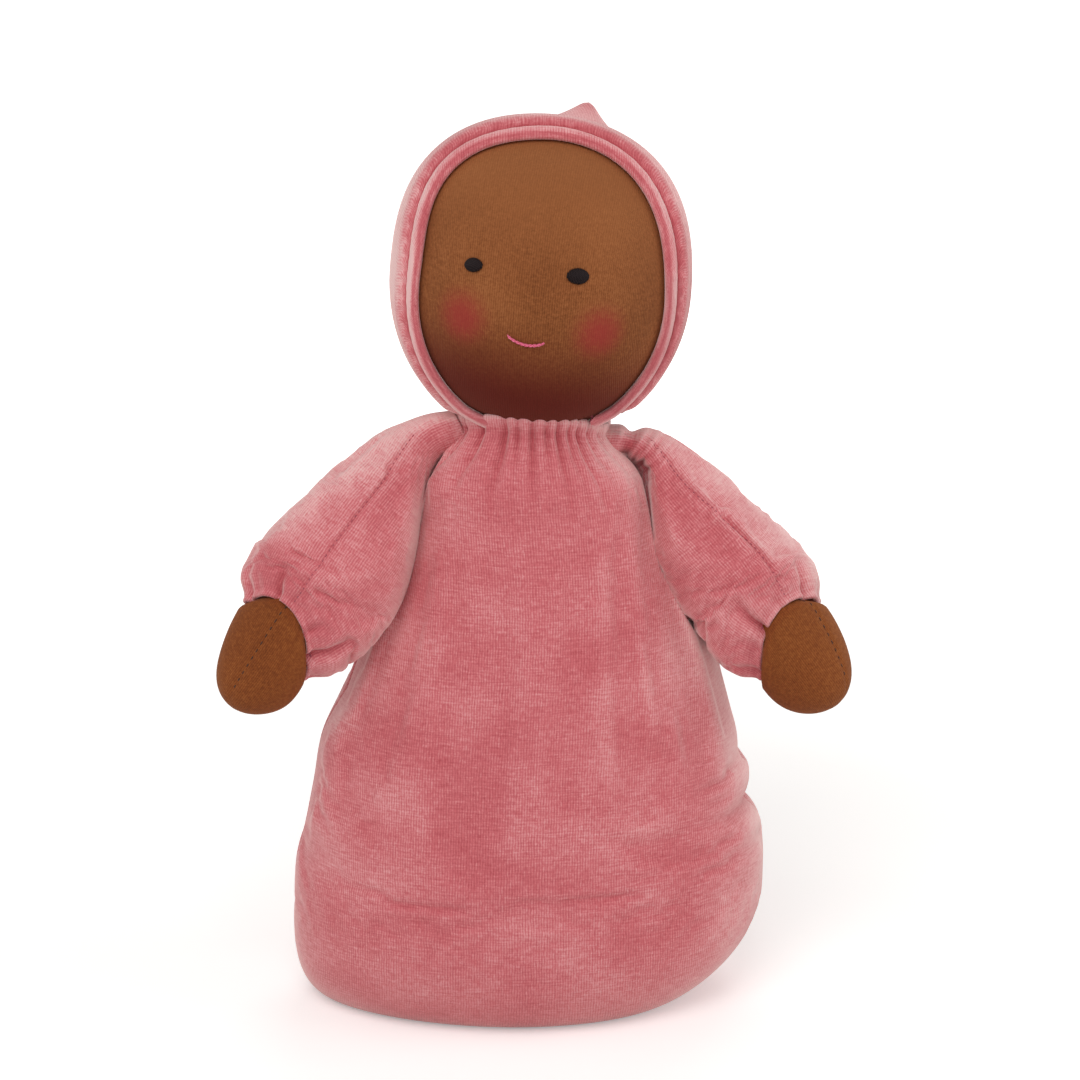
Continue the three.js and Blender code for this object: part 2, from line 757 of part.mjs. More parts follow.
function addArm(side, name) {
  const group = new THREE.Group();
  group.position.set(side * creaseAside, -shoulder.creaseAhead, creaseHeight);
  group.rotation.x = -armForward;
  doll.add(group);

  const from = shoulder.creaseRadius / 2;
  const lining = sleeveInside(side, arm.wall, from, arm.length + overrun);
  add(group, `${name}_sleeve`, sleeveOutside(side).subtract(lining), velour);
  const filling = sleeveInside(side, arm.wall + seamGap, from + seamGap, stuffedLength);
  add(group, `${name}_sleeve_filling`, filling, wool);

  const loopAt = arm.length + seamGap + arm.cuffThread / 2;
  const path = armRing(side, loopAt, threadColumns, () => cuffHole + arm.cuffThread / 2);
  add(group, `${name}_cuff_thread`, threadLoop(path, arm.cuffThread, threadSides), stitching);

  const outside = handPairs(0);
  const inside = handPairs(hand.jersey);
  const bottom = outside[0][1];
  const mouth = [[0, bottom - seamGap], [inside[0][0], bottom - seamGap]];
  const skin = handSolid(side, [[0, bottom], ...outside]);
  add(group, `${name}_hand_skin`, skin.subtract(handSolid(side, [...mouth, ...inside])), jersey);
  const stuffing = handPairs(hand.jersey + seamGap);
  add(group, `${name}_hand_filling`, handSolid(side, [[0, stuffing[0][1]], ...stuffing]), wool);
}

addSack();
addPouch();
addNeck();
addHeadLayers();
addFace();
addHood();
for (const [side, name] of [[-1, 'right'], [1, 'left']]) {
  addShoulder(side, name);
  addArm(side, name);
}

export default doll;
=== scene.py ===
"""A hooded waldorf doll in Blender: velour sack, stuffed sleeves, jersey head and hands.

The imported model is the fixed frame. Each fabric piece is a fine grid of places in millimetres,
puffed by a cloth pass where it is stuffed, and turned into a mesh in metres at its place.
"""
import logging
import math
from dataclasses import dataclass
from enum import Enum
from functools import partial
from typing import Callable, Sequence

import bmesh
import bpy
import numpy as np
from mathutils import Matrix, Vector


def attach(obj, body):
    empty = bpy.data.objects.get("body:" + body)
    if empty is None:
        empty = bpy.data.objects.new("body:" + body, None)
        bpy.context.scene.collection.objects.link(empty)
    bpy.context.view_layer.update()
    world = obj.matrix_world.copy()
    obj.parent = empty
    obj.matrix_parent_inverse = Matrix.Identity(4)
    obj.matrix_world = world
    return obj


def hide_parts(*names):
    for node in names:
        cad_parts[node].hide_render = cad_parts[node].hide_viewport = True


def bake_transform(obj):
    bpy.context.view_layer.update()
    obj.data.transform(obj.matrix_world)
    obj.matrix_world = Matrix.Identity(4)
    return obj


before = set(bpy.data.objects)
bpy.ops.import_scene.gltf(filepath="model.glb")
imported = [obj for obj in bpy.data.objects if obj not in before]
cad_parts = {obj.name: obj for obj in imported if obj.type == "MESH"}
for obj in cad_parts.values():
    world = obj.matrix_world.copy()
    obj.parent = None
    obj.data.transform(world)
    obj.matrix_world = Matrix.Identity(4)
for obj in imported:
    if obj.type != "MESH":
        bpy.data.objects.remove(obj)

LOG = logging.getLogger("waldorf_doll")
Array = np.ndarray
Material = bpy.types.Material
Object = bpy.types.Object
Socket = bpy.types.NodeSocket
METRES = 0.001
FABRIC_MAP = "fabric_mm"
REST_PLACE = "rest_place_mm"
PAINTED_LIGHT = "painted_sheen_and_shade"
# How often a mesh is evened out to find the side that a place is on, and how proud it stands.
BROAD_ROUNDS = 150
NEAR_ROUNDS = 40


class Side(Enum):
    """The doll's own right is at -X, its left at +X."""

    RIGHT = -1
    LEFT = 1

    @property
    def word(self) -> str:
        """The side's name in the frame's bodies and nodes."""
        return self.name.lower()


class Slot(Enum):
    """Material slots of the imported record."""

    VELOUR = "pink_velour"
    JERSEY = "brown_jersey"
    SEAM = "seam_thread"
    EYE = "eye_silk"
    MOUTH = "mouth_silk"
    WOOL = "wool"
    LINEN = "linen"


# Colour and node tools


def linear(code: str) -> tuple[float, float, float, float]:
    """An sRGB hex colour as the linear colour that a shader takes.

    Args:
        code: six hex digits, such as "c9707a".

    Returns:
        Red, green, blue and alpha.
    """
    parts = [int(code[i:i + 2], 16) / 255 for i in (0, 2, 4)]
    red, green, blue = [p / 12.92 if p <= 0.04045 else ((p + 0.055) / 1.055) ** 2.4 for p in parts]
    return red, green, blue, 1.0


def add_node(tree: bpy.types.NodeTree, kind: str, inputs: dict, out: int | str = 0,
             **settings: object) -> Socket | None:
    """Adds a node with its settings, and links or sets its inputs.

    Args:
        tree: the node tree that gets the node.
        kind: the node's type after "ShaderNode", such as "TexNoise".
        inputs: socket name or number to a value, or to an output socket that is linked.
        out: the output that is wanted.
        settings: the node's own properties.

    Returns:
        That output, if the node has any.
    """
    made = tree.nodes.new("ShaderNode" + kind)
    for key, value in settings.items():
        setattr(made, key, value)
    for key, value in inputs.items():
        if isinstance(value, Socket):
            tree.links.new(value, made.inputs[key])
        else:
            made.inputs[key].default_value = value
    return made.outputs[out] if len(made.outputs) else None


def new_material(name: str) -> tuple[Material, Callable[..., Socket]]:
    """An empty node material.

    Args:
        name: the material's name.

    Returns:
        The material, and the function that adds a node to its tree.
    """
    material = bpy.data.materials.new(name)
    material.use_nodes = True
    material.node_tree.nodes.clear()
    return material, partial(add_node, material.node_tree)


def set_ramp(colour: Socket, stops: Sequence[tuple[float, str]]) -> None:
    """Gives a colour ramp its stops.

    Args:
        colour: the ramp's output.
        stops: positions and hex colours.
    """
    elements = colour.node.color_ramp.elements
    while len(elements) > 1:
        elements.remove(elements[-1])
    for i, (at, code) in enumerate(stops):
        stop = elements[0] if i == 0 else elements.new(at)
        stop.position = at
        stop.color = linear(code)


def end_fabric(node: Callable[..., Socket], height: Socket, strength: float, relief: float,
               shading: dict) -> None:
    """Ends a fabric's nodes: its relief, its shader and the output.

    Args:
        node: adds a node.
        height: the relief's height.
        strength: how much of it counts.
        relief: how high it is, in mm.
        shading: the shader's inputs.
    """
    bump = node("Bump", {"Height": height, "Strength": strength, "Distance": relief * METRES})
    node("OutputMaterial", {"Surface": node("BsdfPrincipled", shading | {"Normal": bump})})


# Finishes

# A wave texture's band is 2 pi / 20 of its scaled coordinate wide.
WAVE_BAND = math.pi / 10


@dataclass(frozen=True)
class CottonVelour:
    """Cotton velour, knitted and sheared: a short soft pile that brushes into lighter and deeper
    patches, over wales that show as fine upright lines. Its grazing edges bloom greyish pink from
    the shader's sheen, and a painted sheen makes its sides, tops and ridges paler, with painted
    shade in its grooves and hollows."""

    name: str = "cotton_velour_sheared_pile"
    deep: str = "b14e55"
    body: str = "c96a70"
    bloom: str = "de999b"
    palest_painted_sheen: str = "e6b8b6"
    grazing: str = "f8dfdb"
    wale_pitch: float = 0.9
    patch_size: tuple[float, float, float] = (34.0, 34.0, 22.0)
    pile_size: tuple[float, float, float] = (0.65, 0.65, 0.65)
    slub_size: tuple[float, float, float] = (6.0, 0.6, 1.0)

    def make(self) -> Material:
        """Returns the velour material."""
        material, node = new_material(self.name)
        fabric = node("UVMap", {}, uv_map=FABRIC_MAP)
        rest = node("Attribute", {}, "Vector", attribute_name=REST_PLACE)
        # Per-vertex painted light: above 0 painted sheen and highlight, below 0 painted shade.
        painted_light_fac = node("Attribute", {}, "Fac", attribute_name=PAINTED_LIGHT)
        wales = node("TexWave", {
            "Vector": fabric, "Scale": WAVE_BAND / self.wale_pitch, "Distortion": 2.4,
            "Detail": 3.0, "Detail Scale": 0.7}, "Fac", bands_direction="X")
        # The wales are broken up: their noise is narrower than a wale and three wales long.
        wale_size = (0.6 * self.wale_pitch, 3 * self.wale_pitch, 1.0)
        patches, pile, slubs, broken = (
            node("TexNoise", {
                "Vector": node("Mapping", {"Vector": place, "Scale": [1 / mm for mm in size]}),
                "Scale": 1.0, "Detail": detail, "Roughness": rough})
            for place, size, detail, rough in (
                (rest, self.patch_size, 1.2, 0.4), (rest, self.pile_size, 2.0, 0.65),
                (fabric, self.slub_size, 2.0, 0.5), (fabric, wale_size, 2.0, 0.5)))

        # Each layer swings about its middle, so the sum is set back by half the weights. The per-vertex
        # painted light adds painted sheen at the sides and tops, painted highlight on ridges and painted
        # shade in grooves and hollows, unevenly by the patches.
        layers = ((patches, 0.5), (pile, 0.47), (slubs, 0.54), (broken, 0.42), (wales, 0.2))
        uneven = node("MapRange", {
            "Value": patches, "From Min": 0.34, "From Max": 0.66, "To Min": 0.34, "To Max": 0.5})
        tone = node("Math", {0: painted_light_fac, 1: uneven, 2: 0.5 - sum(weight for _, weight in layers) / 2},
                    operation="MULTIPLY_ADD")
        for fac, weight in layers:
            tone = node("Math", {0: fac, 1: weight, 2: tone}, operation="MULTIPLY_ADD")
        # The two palest stops are reached mostly where the painted sheen is strong.
        colour = node("ValToRGB", {"Fac": tone})
        set_ramp(colour, ((0.2, self.deep), (0.5, self.body), (0.8, self.bloom), (1.0, self.palest_painted_sheen)))

        height = node("Mix", {0: 0.6, 2: wales, 3: pile}, data_type="FLOAT")
        height = node("Mix", {0: 0.35, 2: height, 3: slubs}, data_type="FLOAT")
        end_fabric(node, height, 0.62, 0.35, {
            "Base Color": colour,
            "Roughness": node("MapRange", {"Value": patches, "To Min": 0.78, "To Max": 0.95}),
            "Specular IOR Level": 0.1, "Sheen Weight": 0.95, "Sheen Roughness": 0.42,
            "Sheen Tint": linear(self.grazing)})
        return material


@dataclass(frozen=True)
class Blush:
    """A rubbed-on spot of crayon blush on the jersey."""

    centre: tuple[float, float, float]
    reach: float = 13.4
    colour: str = "962d2d"
    strength: float = 0.74


@dataclass(frozen=True)
class CottonJersey:
    """Cotton jersey, fine single knit, drawn tight over wool: matt, with hair-fine upright wales
    and a slight heather. It is dyed red-brown, and painted darker and redder under the chin: painted shade,
    reddened as by light bounced from the velour."""

    name: str = "cotton_jersey_fine_knit"
    deep: str = "69391a"
    body: str = "834b27"
    light: str = "985d35"
    painted_chin_shade: str = "520b06"
    grazing: str = "d8a988"
    wale_pitch: float = 0.72
    heather_size: float = 0.95
    shade_size: float = 38.0
    chin_heights: tuple[float, float] = (249.0, 217.0)
    crown_heights: tuple[float, float] = (260.0, 288.0)
    ragged: float = 5.0
    blushes: tuple[Blush, ...] = ()

    def make(self) -> Material:
        """Returns the jersey material."""
        material, node = new_material(self.name)
        fabric = node("UVMap", {}, uv_map=FABRIC_MAP)
        rest = node("Attribute", {}, "Vector", attribute_name=REST_PLACE)
        wales = node("TexWave", {
            "Vector": fabric, "Scale": WAVE_BAND / self.wale_pitch, "Distortion": 2.2,
            "Detail": 2.0, "Detail Scale": 0.5}, "Fac", bands_direction="X")
        rows = node("Mapping", {"Vector": fabric, "Scale": (0.3, 1 / (1.6 * self.wale_pitch), 1.0)})
        courses = node("TexNoise", {"Vector": rows, "Scale": 1.0, "Detail": 3.0})
        heather = node("TexNoise", {
            "Vector": rest, "Scale": 1 / self.heather_size, "Detail": 3.0, "Roughness": 0.7})
        tone = node("TexNoise", {"Vector": rest, "Scale": 1 / self.shade_size, "Detail": 1.0})
        for fac, share in ((courses, 0.3), (heather, 0.5), (wales, 0.1)):
            tone = node("Mix", {0: share, 2: tone, 3: fac}, data_type="FLOAT")
        colour = node("ValToRGB", {"Fac": tone})
        set_ramp(colour, ((0.36, self.deep), (0.5, self.body), (0.64, self.light)))

        # Tints that fade in over a measure. The heather makes their edges ragged, by half on average.
        tints, half = [], self.ragged / 2
        if self.blushes:
            # The painted shade under the chin reaches a little higher at the doll's right cheek.
            height = node("VectorMath", {0: rest, 1: (0.2, 0.0, 1.0)}, "Value", operation="DOT_PRODUCT")
            (low, lowest), (high, highest) = self.chin_heights, self.crown_heights
            # The second tint is painted shade under the chin.
            tints += [(height, high, highest, 0.5, "LINEAR", self.light),
                      (height, low + half, lowest + half, 0.95, "SMOOTHSTEP", self.painted_chin_shade)]
        for blush in self.blushes:
            away = node("VectorMath", {0: rest, 1: blush.centre}, "Value", operation="DISTANCE")
            tints.append((away, half + blush.reach, half, blush.strength, "SMOOTHERSTEP", blush.colour))
        for measure, start, end, most, ease, code in tints:
            measure = node("Math", {0: heather, 1: self.ragged, 2: measure}, operation="MULTIPLY_ADD")
            share = node("MapRange", {"Value": measure, "From Min": start, "From Max": end,
                                      "To Min": 0.0, "To Max": most}, interpolation_type=ease)
            colour = node("Mix", {0: share, 6: colour, 7: linear(code)}, 2, data_type="RGBA")

        height = node("Mix", {0: 0.45, 2: wales, 3: heather}, data_type="FLOAT")
        end_fabric(node, height, 0.5, 0.18, {
            "Base Color": colour, "Roughness": 0.88, "Specular IOR Level": 0.18,
            "Sheen Weight": 0.12, "Sheen Roughness": 0.5, "Sheen Tint": linear(self.grazing)})
        return material


@dataclass(frozen=True)
class SpunThread:
    """Spun thread or stranded silk: plies lying side by side give fine slanting lines, and the
    silk has a low satin shine."""

    name: str = "sewing_thread_spun_cotton"
    dark: str = "8d3f4c"
    light: str = "b8606c"
    ply: float = 0.35
    roughness: float = 0.75
    shine: float = 0.3
    fuzz: float = 0.15

    def make(self) -> Material:
        """Returns the thread material."""
        material, node = new_material(self.name)
        rest = node("Attribute", {}, "Vector", attribute_name=REST_PLACE)
        plies = node("TexWave", {
            "Vector": rest, "Scale": WAVE_BAND / self.ply, "Distortion": 1.0, "Detail": 1.0},
            "Fac", bands_direction="DIAGONAL")
        colour = node("ValToRGB", {"Fac": plies})
        set_ramp(colour, ((0.1, self.dark), (0.8, self.light)))
        end_fabric(node, plies, 0.5, 0.1, {
            "Base Color": colour, "Roughness": self.roughness,
            "Specular IOR Level": self.shine, "Sheen Weight": self.fuzz})
        return material


# Fabric as grids of places


def smooth_curve(knots: Sequence[float], values: Sequence[float], at: Array) -> Array:
    """A smooth curve through given values.

    Args:
        knots: rising positions.
        values: the curve's value at each.
        at: where it is wanted.

    Returns:
        The values there, held level past both ends.
    """
    x, y = np.asarray(knots, float), np.asarray(values, float)
    slope = np.gradient(y, x)
    slope[0] = slope[-1] = 0.0
    flat = np.clip(at, x[0], x[-1])
    i = np.clip(np.searchsorted(x, flat, side="right") - 1, 0, len(x) - 2)
    width = x[i + 1] - x[i]
    t = (flat - x[i]) / width
    return ((1 + 2 * t) * (1 - t) ** 2 * y[i] + t * (1 - t) ** 2 * width * slope[i]
            + t * t * (3 - 2 * t) * y[i + 1] + t * t * (t - 1) * width * slope[i + 1])


def rise(value: Array, low: float, high: float) -> Array:
    """Eases from 0 at low to 1 at high, which may be the lower number."""
    t = np.clip((value - low) / (high - low), 0.0, 1.0)
    return t * t * (3 - 2 * t)


def hump(value: Array, middle: float, width: float) -> Array:
    """A round hump, 1 high at its middle and 0.37 a width away."""
    return np.exp(-((value - middle) / width) ** 2)


def unit(rays: Array) -> Array:
    """Directions with a length of 1."""
    return rays / (np.linalg.norm(rays, axis=-1, keepdims=True) + 1e-12)


def turns(count: int) -> Array:
    """Angles of evenly spread columns round a piece, in radians."""
    return 2 * math.pi * np.arange(count) / count


def aside_by(angle: Array, middle: float) -> Array:
    """Degrees between an angle in radians and a middle in degrees, the short way round."""
    return (np.degrees(angle) - middle + 180) % 360 - 180


def turned(*steps: tuple[float, str]) -> Array:
    """The product of rotations.

    Args:
        steps: degrees and the axis of each, the last one done first.

    Returns:
        The rotation matrix.
    """
    whole = Matrix.Identity(3)
    for degrees, axis in steps:
        whole = whole @ Matrix.Rotation(math.radians(degrees), 3, axis)
    return np.array(whole)


def finer(values: Array, count: int, axis: int, closed: bool) -> Array:
    """Values at more places along one axis, on a smooth curve through the given ones.

    Args:
        values: the grid.
        count: how many places are wanted.
        axis: 0 or 1.
        closed: whether the last place joins the first.

    Returns:
        The finer grid.
    """
    known = values.shape[axis]
    at = np.arange(count) / (count if closed else count - 1) * (known if closed else known - 1)
    start = np.floor(at).astype(int)
    t = (at - start).reshape([-1 if i == axis else 1 for i in range(values.ndim)])
    near = [(start + step) % known if closed else np.clip(start + step, 0, known - 1)
            for step in (-1, 0, 1, 2)]
    a, b, c, d = (np.take(values, index, axis) for index in near)
    return 0.5 * (2 * b + (c - a) * t + (2 * a - 5 * b + 4 * c - d) * t ** 2
                  + (3 * b - a - 3 * c + d) * t ** 3)


def blurred(values: Array, times: int) -> Array:
    """A grid with each place evened out with its neighbours, columns closed.

    Args:
        values: the grid.
        times: how often.

    Returns:
        The evened grid.
    """
    for _ in range(times):
        values = (np.roll(values, 1, 1) + 2 * values + np.roll(values, -1, 1)) / 4
        padded = np.concatenate([values[:1], values, values[-1:]])
        values = (padded[:-2] + 2 * padded[1:-1] + padded[2:]) / 4
    return values


def grid_mesh(name: str, places: Array, closed: bool, flip: bool
              ) -> tuple[bpy.types.Mesh, list[tuple[Array, Array]]]:
    """A mesh of square faces over a grid.

    Args:
        name: the mesh's name.
        places: rows by columns, in mm.
        closed: whether the last column joins the first.
        flip: whether the faces look to the other side.

    Returns:
        The mesh in metres, and the rows and columns of its faces' four corners.
    """
    high, wide = places.shape[:2]
    r, c = np.meshgrid(np.arange(high - 1), np.arange(wide if closed else wide - 1), indexing="ij")
    r, c = r.ravel(), c.ravel()
    corners = [(r, c), (r, c + 1), (r + 1, c + 1), (r + 1, c)]
    if flip:
        corners.reverse()
    faces = np.stack([row * wide + column % wide for row, column in corners], axis=1)
    data = bpy.data.meshes.new(name)
    data.from_pydata((places.reshape(-1, 3) * METRES).tolist(), [], faces.tolist())
    return data, corners


@dataclass
class Cloth:
    """A fabric surface: a grid of places in mm, rows by columns, facing outwards."""

    places: Array
    closed: bool = True
    flip: bool = False
    middle: int = 0
    across: Array | None = None
    along: Array | None = None
    # A painted light shift per place: above 0 painted sheen, below 0 painted shade.
    painted_light_shift: Array | float = 0.0

    def measures(self) -> tuple[Array, Array]:
        """Returns mm across the fabric from its middle column, and mm along it, per place."""
        grid = self.places
        if self.closed:
            grid = np.concatenate([grid, grid[:, :1]], axis=1)
        steps = np.linalg.norm(np.diff(grid, axis=1), axis=2)
        across = np.concatenate([np.zeros((len(grid), 1)), np.cumsum(steps, axis=1)], axis=1)
        across = across - across[:, self.middle:self.middle + 1]
        rows = np.linalg.norm(np.diff(grid, axis=0), axis=2).mean(axis=1)
        along = np.concatenate([[0.0], np.cumsum(rows)])[:, None] + np.zeros_like(across)
        return (across if self.across is None else self.across,
                along if self.along is None else self.along)

    def at(self, rows: Array, columns: Array) -> tuple[Array, Array]:
        """Places and outward directions at fractions of a row and column.

        Args:
            rows: row numbers, with fractions.
            columns: column numbers, with fractions.

        Returns:
            Places in mm, and unit normals.
        """
        high, wide = self.places.shape[:2]

        def point(row: Array, column: Array) -> Array:
            """Places between the grid's.

            Args:
                row: with fractions.
                column: with fractions.

            Returns:
                Places in mm.
            """
            r, c = np.floor(row).astype(int), np.floor(column).astype(int)
            t, u = (row - r)[:, None], (column - c)[:, None]
            near = [self.places[np.clip(r + i, 0, high - 1),
                                (c + j) % wide if self.closed else np.clip(c + j, 0, wide - 1)]
                    for i in (0, 1) for j in (0, 1)]
            return (near[0] * (1 - u) + near[1] * u) * (1 - t) + (near[2] * (1 - u) + near[3] * u) * t

        normal = unit(np.cross(point(rows, columns + 1) - point(rows, columns - 1),
                               point(rows + 1, columns) - point(rows - 1, columns)))
        return point(rows, columns), -normal if self.flip else normal

    def mesh(self, name: str, finish: Material) -> Object:
        """The fabric as an object in metres, with painted sheen on its sides and tops, painted highlights
        on its ridges and painted shade in its hollows.

        Args:
            name: the piece's name.
            finish: its material.

        Returns:
            The object.
        """
        data, corners = grid_mesh(name, self.places, self.closed, self.flip)
        across, along = self.measures()
        maps = np.stack([np.stack([across[row, column], along[row, column]], axis=1)
                         for row, column in corners], axis=1)
        data.uv_layers.new(name=FABRIC_MAP).data.foreach_set("uv", maps.astype(np.float32).ravel())
        data.update()
        facing = np.empty(len(data.vertices) * 3, np.float32)
        data.vertex_normals.foreach_get("vector", facing)
        facing = unit(evened(data, facing.reshape(-1, 3), BROAD_ROUNDS))
        # Painted sheen: paler where the fabric faces up or sideways, more on the +X side, which the light
        # falls on more.
        aside = np.maximum(0.8 * facing[:, 0], -0.35 * facing[:, 0])
        painted_sheen = rise(np.hypot(aside, np.maximum(facing[:, 2], 0.0)), 0.3, 1.0)
        places = self.places.reshape(-1, 3)
        # Painted highlight on ridges that stand proud, and painted shade in hollows and grooves.
        proud = np.einsum("ij,ij->i", places - evened(data, places, NEAR_ROUNDS), facing)
        painted_light_shift = (np.zeros(self.places.shape[:2]) + self.painted_light_shift).ravel()
        value = painted_sheen + np.clip(0.3 * proud, -0.6, 0.25) + painted_light_shift
        layer = data.attributes.new(PAINTED_LIGHT, "FLOAT", "POINT")
        layer.data.foreach_set("value", value.astype(np.float32))
        return finished_object(name, data, finish)


def evened(data: bpy.types.Mesh, values: Array, rounds: int) -> Array:
    """Values at a mesh's vertices, evened out over its folds and pleats.

    Args:
        data: the mesh.
        values: one row for each vertex.
        rounds: how often each is averaged with the next ones.

    Returns:
        The evened values.
    """
    count = len(data.vertices)
    ends = np.empty(len(data.edges) * 2, np.int32)
    data.edges.foreach_get("vertices", ends)
    one, two = ends[0::2], ends[1::2]
    shared = 1.0 + np.bincount(ends, minlength=count)
    values = values.astype(np.float64)
    for _ in range(rounds):
        values = np.stack([
            (values[:, k] + np.bincount(one, values[two, k], count)
             + np.bincount(two, values[one, k], count)) / shared for k in range(3)], axis=1)
    return values


def finished_object(name: str, data: bpy.types.Mesh, finish: Material) -> Object:
    """Puts a mesh in the scene with its material, smooth shading and rest places.

    Args:
        name: the piece's name.
        data: its mesh, in metres.
        finish: its material.

    Returns:
        The object.
    """
    data.materials.append(finish)
    data.polygons.foreach_set("use_smooth", [True] * len(data.polygons))
    places = np.empty(len(data.vertices) * 3, np.float32)
    data.vertices.foreach_get("co", places)
    rest = data.attributes.new(REST_PLACE, "FLOAT_VECTOR", "POINT")
    rest.data.foreach_set("vector", places / METRES)
    data.update()
    made = bpy.data.objects.new(name, data)
    bpy.context.scene.collection.objects.link(made)
    return made


def declare(piece: Object, body: str | None, nodes: Sequence[str] = ()
            ) -> None:
    """Args:
        piece: the piece.
        body: the body that it rides on, or None for a piece that lies between two.
        nodes: of the frame, that it is shown for.
    """
    if nodes:
        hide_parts(*nodes)
    if body:
        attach(piece, body)


def threads(name: str, runs: Sequence[Array], radius: float, sides: int, finish: Material) -> Object:
    """Round threads along paths, with rounded ends.

    Args:
        name: the piece's name.
        runs: each a path of places in mm.
        radius: of the thread in mm.
        sides: round its section.
        finish: the thread's material.

    Returns:
        The object.
    """
    points: list = []
    faces: list = []
    round_section = turns(sides)[None, :, None]
    for run in runs:
        ahead = unit(np.gradient(run, axis=0))
        up = np.array([0.0, 0.0, 1.0]) if abs(ahead[0][2]) < 0.9 else np.array([1.0, 0.0, 0.0])
        one = unit(np.cross(ahead, up))
        two = np.cross(ahead, one)
        share = np.linspace(-1, 1, len(run))
        thick = radius * np.sqrt(np.maximum(1 - share ** 6, 0.04))
        ring = np.cos(round_section) * one[:, None] + np.sin(round_section) * two[:, None]
        first, last = len(points), len(points) + (len(run) - 1) * sides
        points += ((run[:, None] + thick[:, None, None] * ring).reshape(-1, 3) * METRES).tolist()
        for start in range(first, last, sides):
            for k in range(sides):
                a, b = start + k, start + (k + 1) % sides
                faces.append((a, b, b + sides, a + sides))
        faces += [tuple(first + k for k in reversed(range(sides))), tuple(last + k for k in range(sides))]
    data = bpy.data.meshes.new(name)
    data.from_pydata(points, [], faces)
    return finished_object(name, data, finish)


@dataclass(frozen=True)
class StitchLine:
    """A run of machine stitches: short dashes that dip into the fabric at both ends."""

    stitch: float
    space: float
    thread: float
    proud: float
    dip: float = 0.3

    def sew(self, name: str, places: Array, normals: Array, finish: Material) -> Object:
        """Sews the run along a path on the fabric.

        Args:
            name: the piece's name.
            places: the path in mm.
            normals: outwards from the fabric along it.
            finish: the thread's material.

        Returns:
            The object.
        """
        along = np.concatenate([[0.0], np.cumsum(np.linalg.norm(np.diff(places, axis=0), axis=1))])
        arch = np.sin(np.linspace(0, math.pi, 7))[:, None]
        runs = []
        start = self.space
        while start + self.stitch < along[-1]:
            at = np.linspace(start, start + self.stitch, len(arch))
            spot, out = (np.stack([np.interp(at, along, path[:, k]) for k in range(3)], axis=1)
                         for path in (places, normals))
            runs.append(spot + out * (self.proud * arch - self.dip * (1 - arch)))
            start += self.stitch + self.space
        return threads(name, runs, self.thread, 6, finish)


@dataclass(frozen=True)
class ClothPass:
    """A short cloth simulation that puffs and wrinkles a stuffed piece between its sewn edges."""

    pressure: float
    spare: float
    weight: float
    frames: int
    most: float
    swell: float = 0.12

    def settle(self, places: Array, held: Array, rows: int, columns: int) -> Array:
        """Runs the simulation on a closed grid.

        Args:
            places: rows by columns, in mm.
            held: per place, from 0, free, to 1, sewn down.
            rows: of the finer grid that the answer is for.
            columns: of that grid.

        Returns:
            How far each place moved, in mm, at most the given distance.
        """
        scene = bpy.context.scene
        data, _ = grid_mesh("cloth_pass", places, True, False)
        piece = bpy.data.objects.new("cloth_pass", data)
        scene.collection.objects.link(piece)
        group = piece.vertex_groups.new(name="held")
        for index, share in enumerate(held.ravel()):
            if share > 0.001:
                group.add([index], float(min(share, 1.0)), "REPLACE")
        cloth = piece.modifiers.new("cloth", "CLOTH")
        for key, value in {
                "quality": 6, "mass": 0.2, "tension_stiffness": 18, "compression_stiffness": 18,
                "shear_stiffness": 8, "bending_stiffness": 0.6, "vertex_group_mass": group.name,
                "use_pressure": True, "uniform_pressure_force": self.pressure,
                "shrink_min": -self.spare}.items():
            setattr(cloth.settings, key, value)
        cloth.settings.effector_weights.gravity = self.weight
        cloth.collision_settings.use_collision = False
        for frame in range(1, self.frames + 1):
            scene.frame_set(frame)
        shaped = piece.evaluated_get(bpy.context.evaluated_depsgraph_get())
        found = np.empty(places.size, np.float64)
        shaped.data.vertices.foreach_get("co", found)
        moved = found.reshape(places.shape) / METRES - places
        scene.frame_set(1)
        bpy.data.objects.remove(piece)
        bpy.data.meshes.remove(data)
        # The starting shape is the stuffed one already, so the broad swell is taken off again.
        moved = moved - (1 - self.swell) * blurred(moved, 60)
        far = np.linalg.norm(moved, axis=2, keepdims=True)
        moved = moved * self.most * np.tanh(far / self.most) / np.maximum(far, 1e-9)
        return finer(finer(moved, rows, 0, False), columns, 1, True)


@dataclass(frozen=True)
class Pleat:
    """One fold of a gathering: where its valley lies, how deep, how long and how wide it is."""

    turn: float
    depth: float
    reach: float
    width: float

    def valley(self, angle: Array, radius: Array, below: Array) -> Array:
        """How deep the valley is at each place.

        Args:
            angle: round the piece, in radians.
            radius: of the piece there, in mm.
            below: distance from the drawn-up edge in mm.

        Returns:
            Depths in mm.
        """
        off = (angle - math.radians(self.turn) + math.pi) % (2 * math.pi) - math.pi
        wide = self.width * (1 + 1.6 * below / self.reach)
        shape = np.exp(-(np.abs(off * radius) / wide) ** 1.6)
        return self.depth * shape * (1 - rise(below, 0.0, self.reach))


def round_lip(ring: Array, centre: Array, ahead: Array, thick: float, inside: Sequence[float],
              back: float = 0.0) -> Array:
    """Rows that turn a fabric edge inwards, and down its inside.

    Args:
        ring: the edge's places.
        centre: a point that the edge runs round.
        ahead: direction in which the fabric ends there.
        thick: of the folded edge, in mm.
        inside: how far down the inside the further rows lie.
        back: how far those rows stand back from the edge, behind deep pleats.

    Returns:
        The rows to be added after the edge.
    """
    inward = centre - ring
    inward -= (inward @ ahead)[:, None] * ahead
    inward /= np.linalg.norm(inward, axis=1)[:, None]
    bends = np.radians((30, 60, 90, 120, 150, 180))
    rows = [ring + inward * thick / 2 * (1 - math.cos(bend)) + ahead * thick / 2 * math.sin(bend)
            for bend in bends]
    return np.stack(rows + [rows[-1] - ahead * depth + inward * back for depth in inside])


# The arms


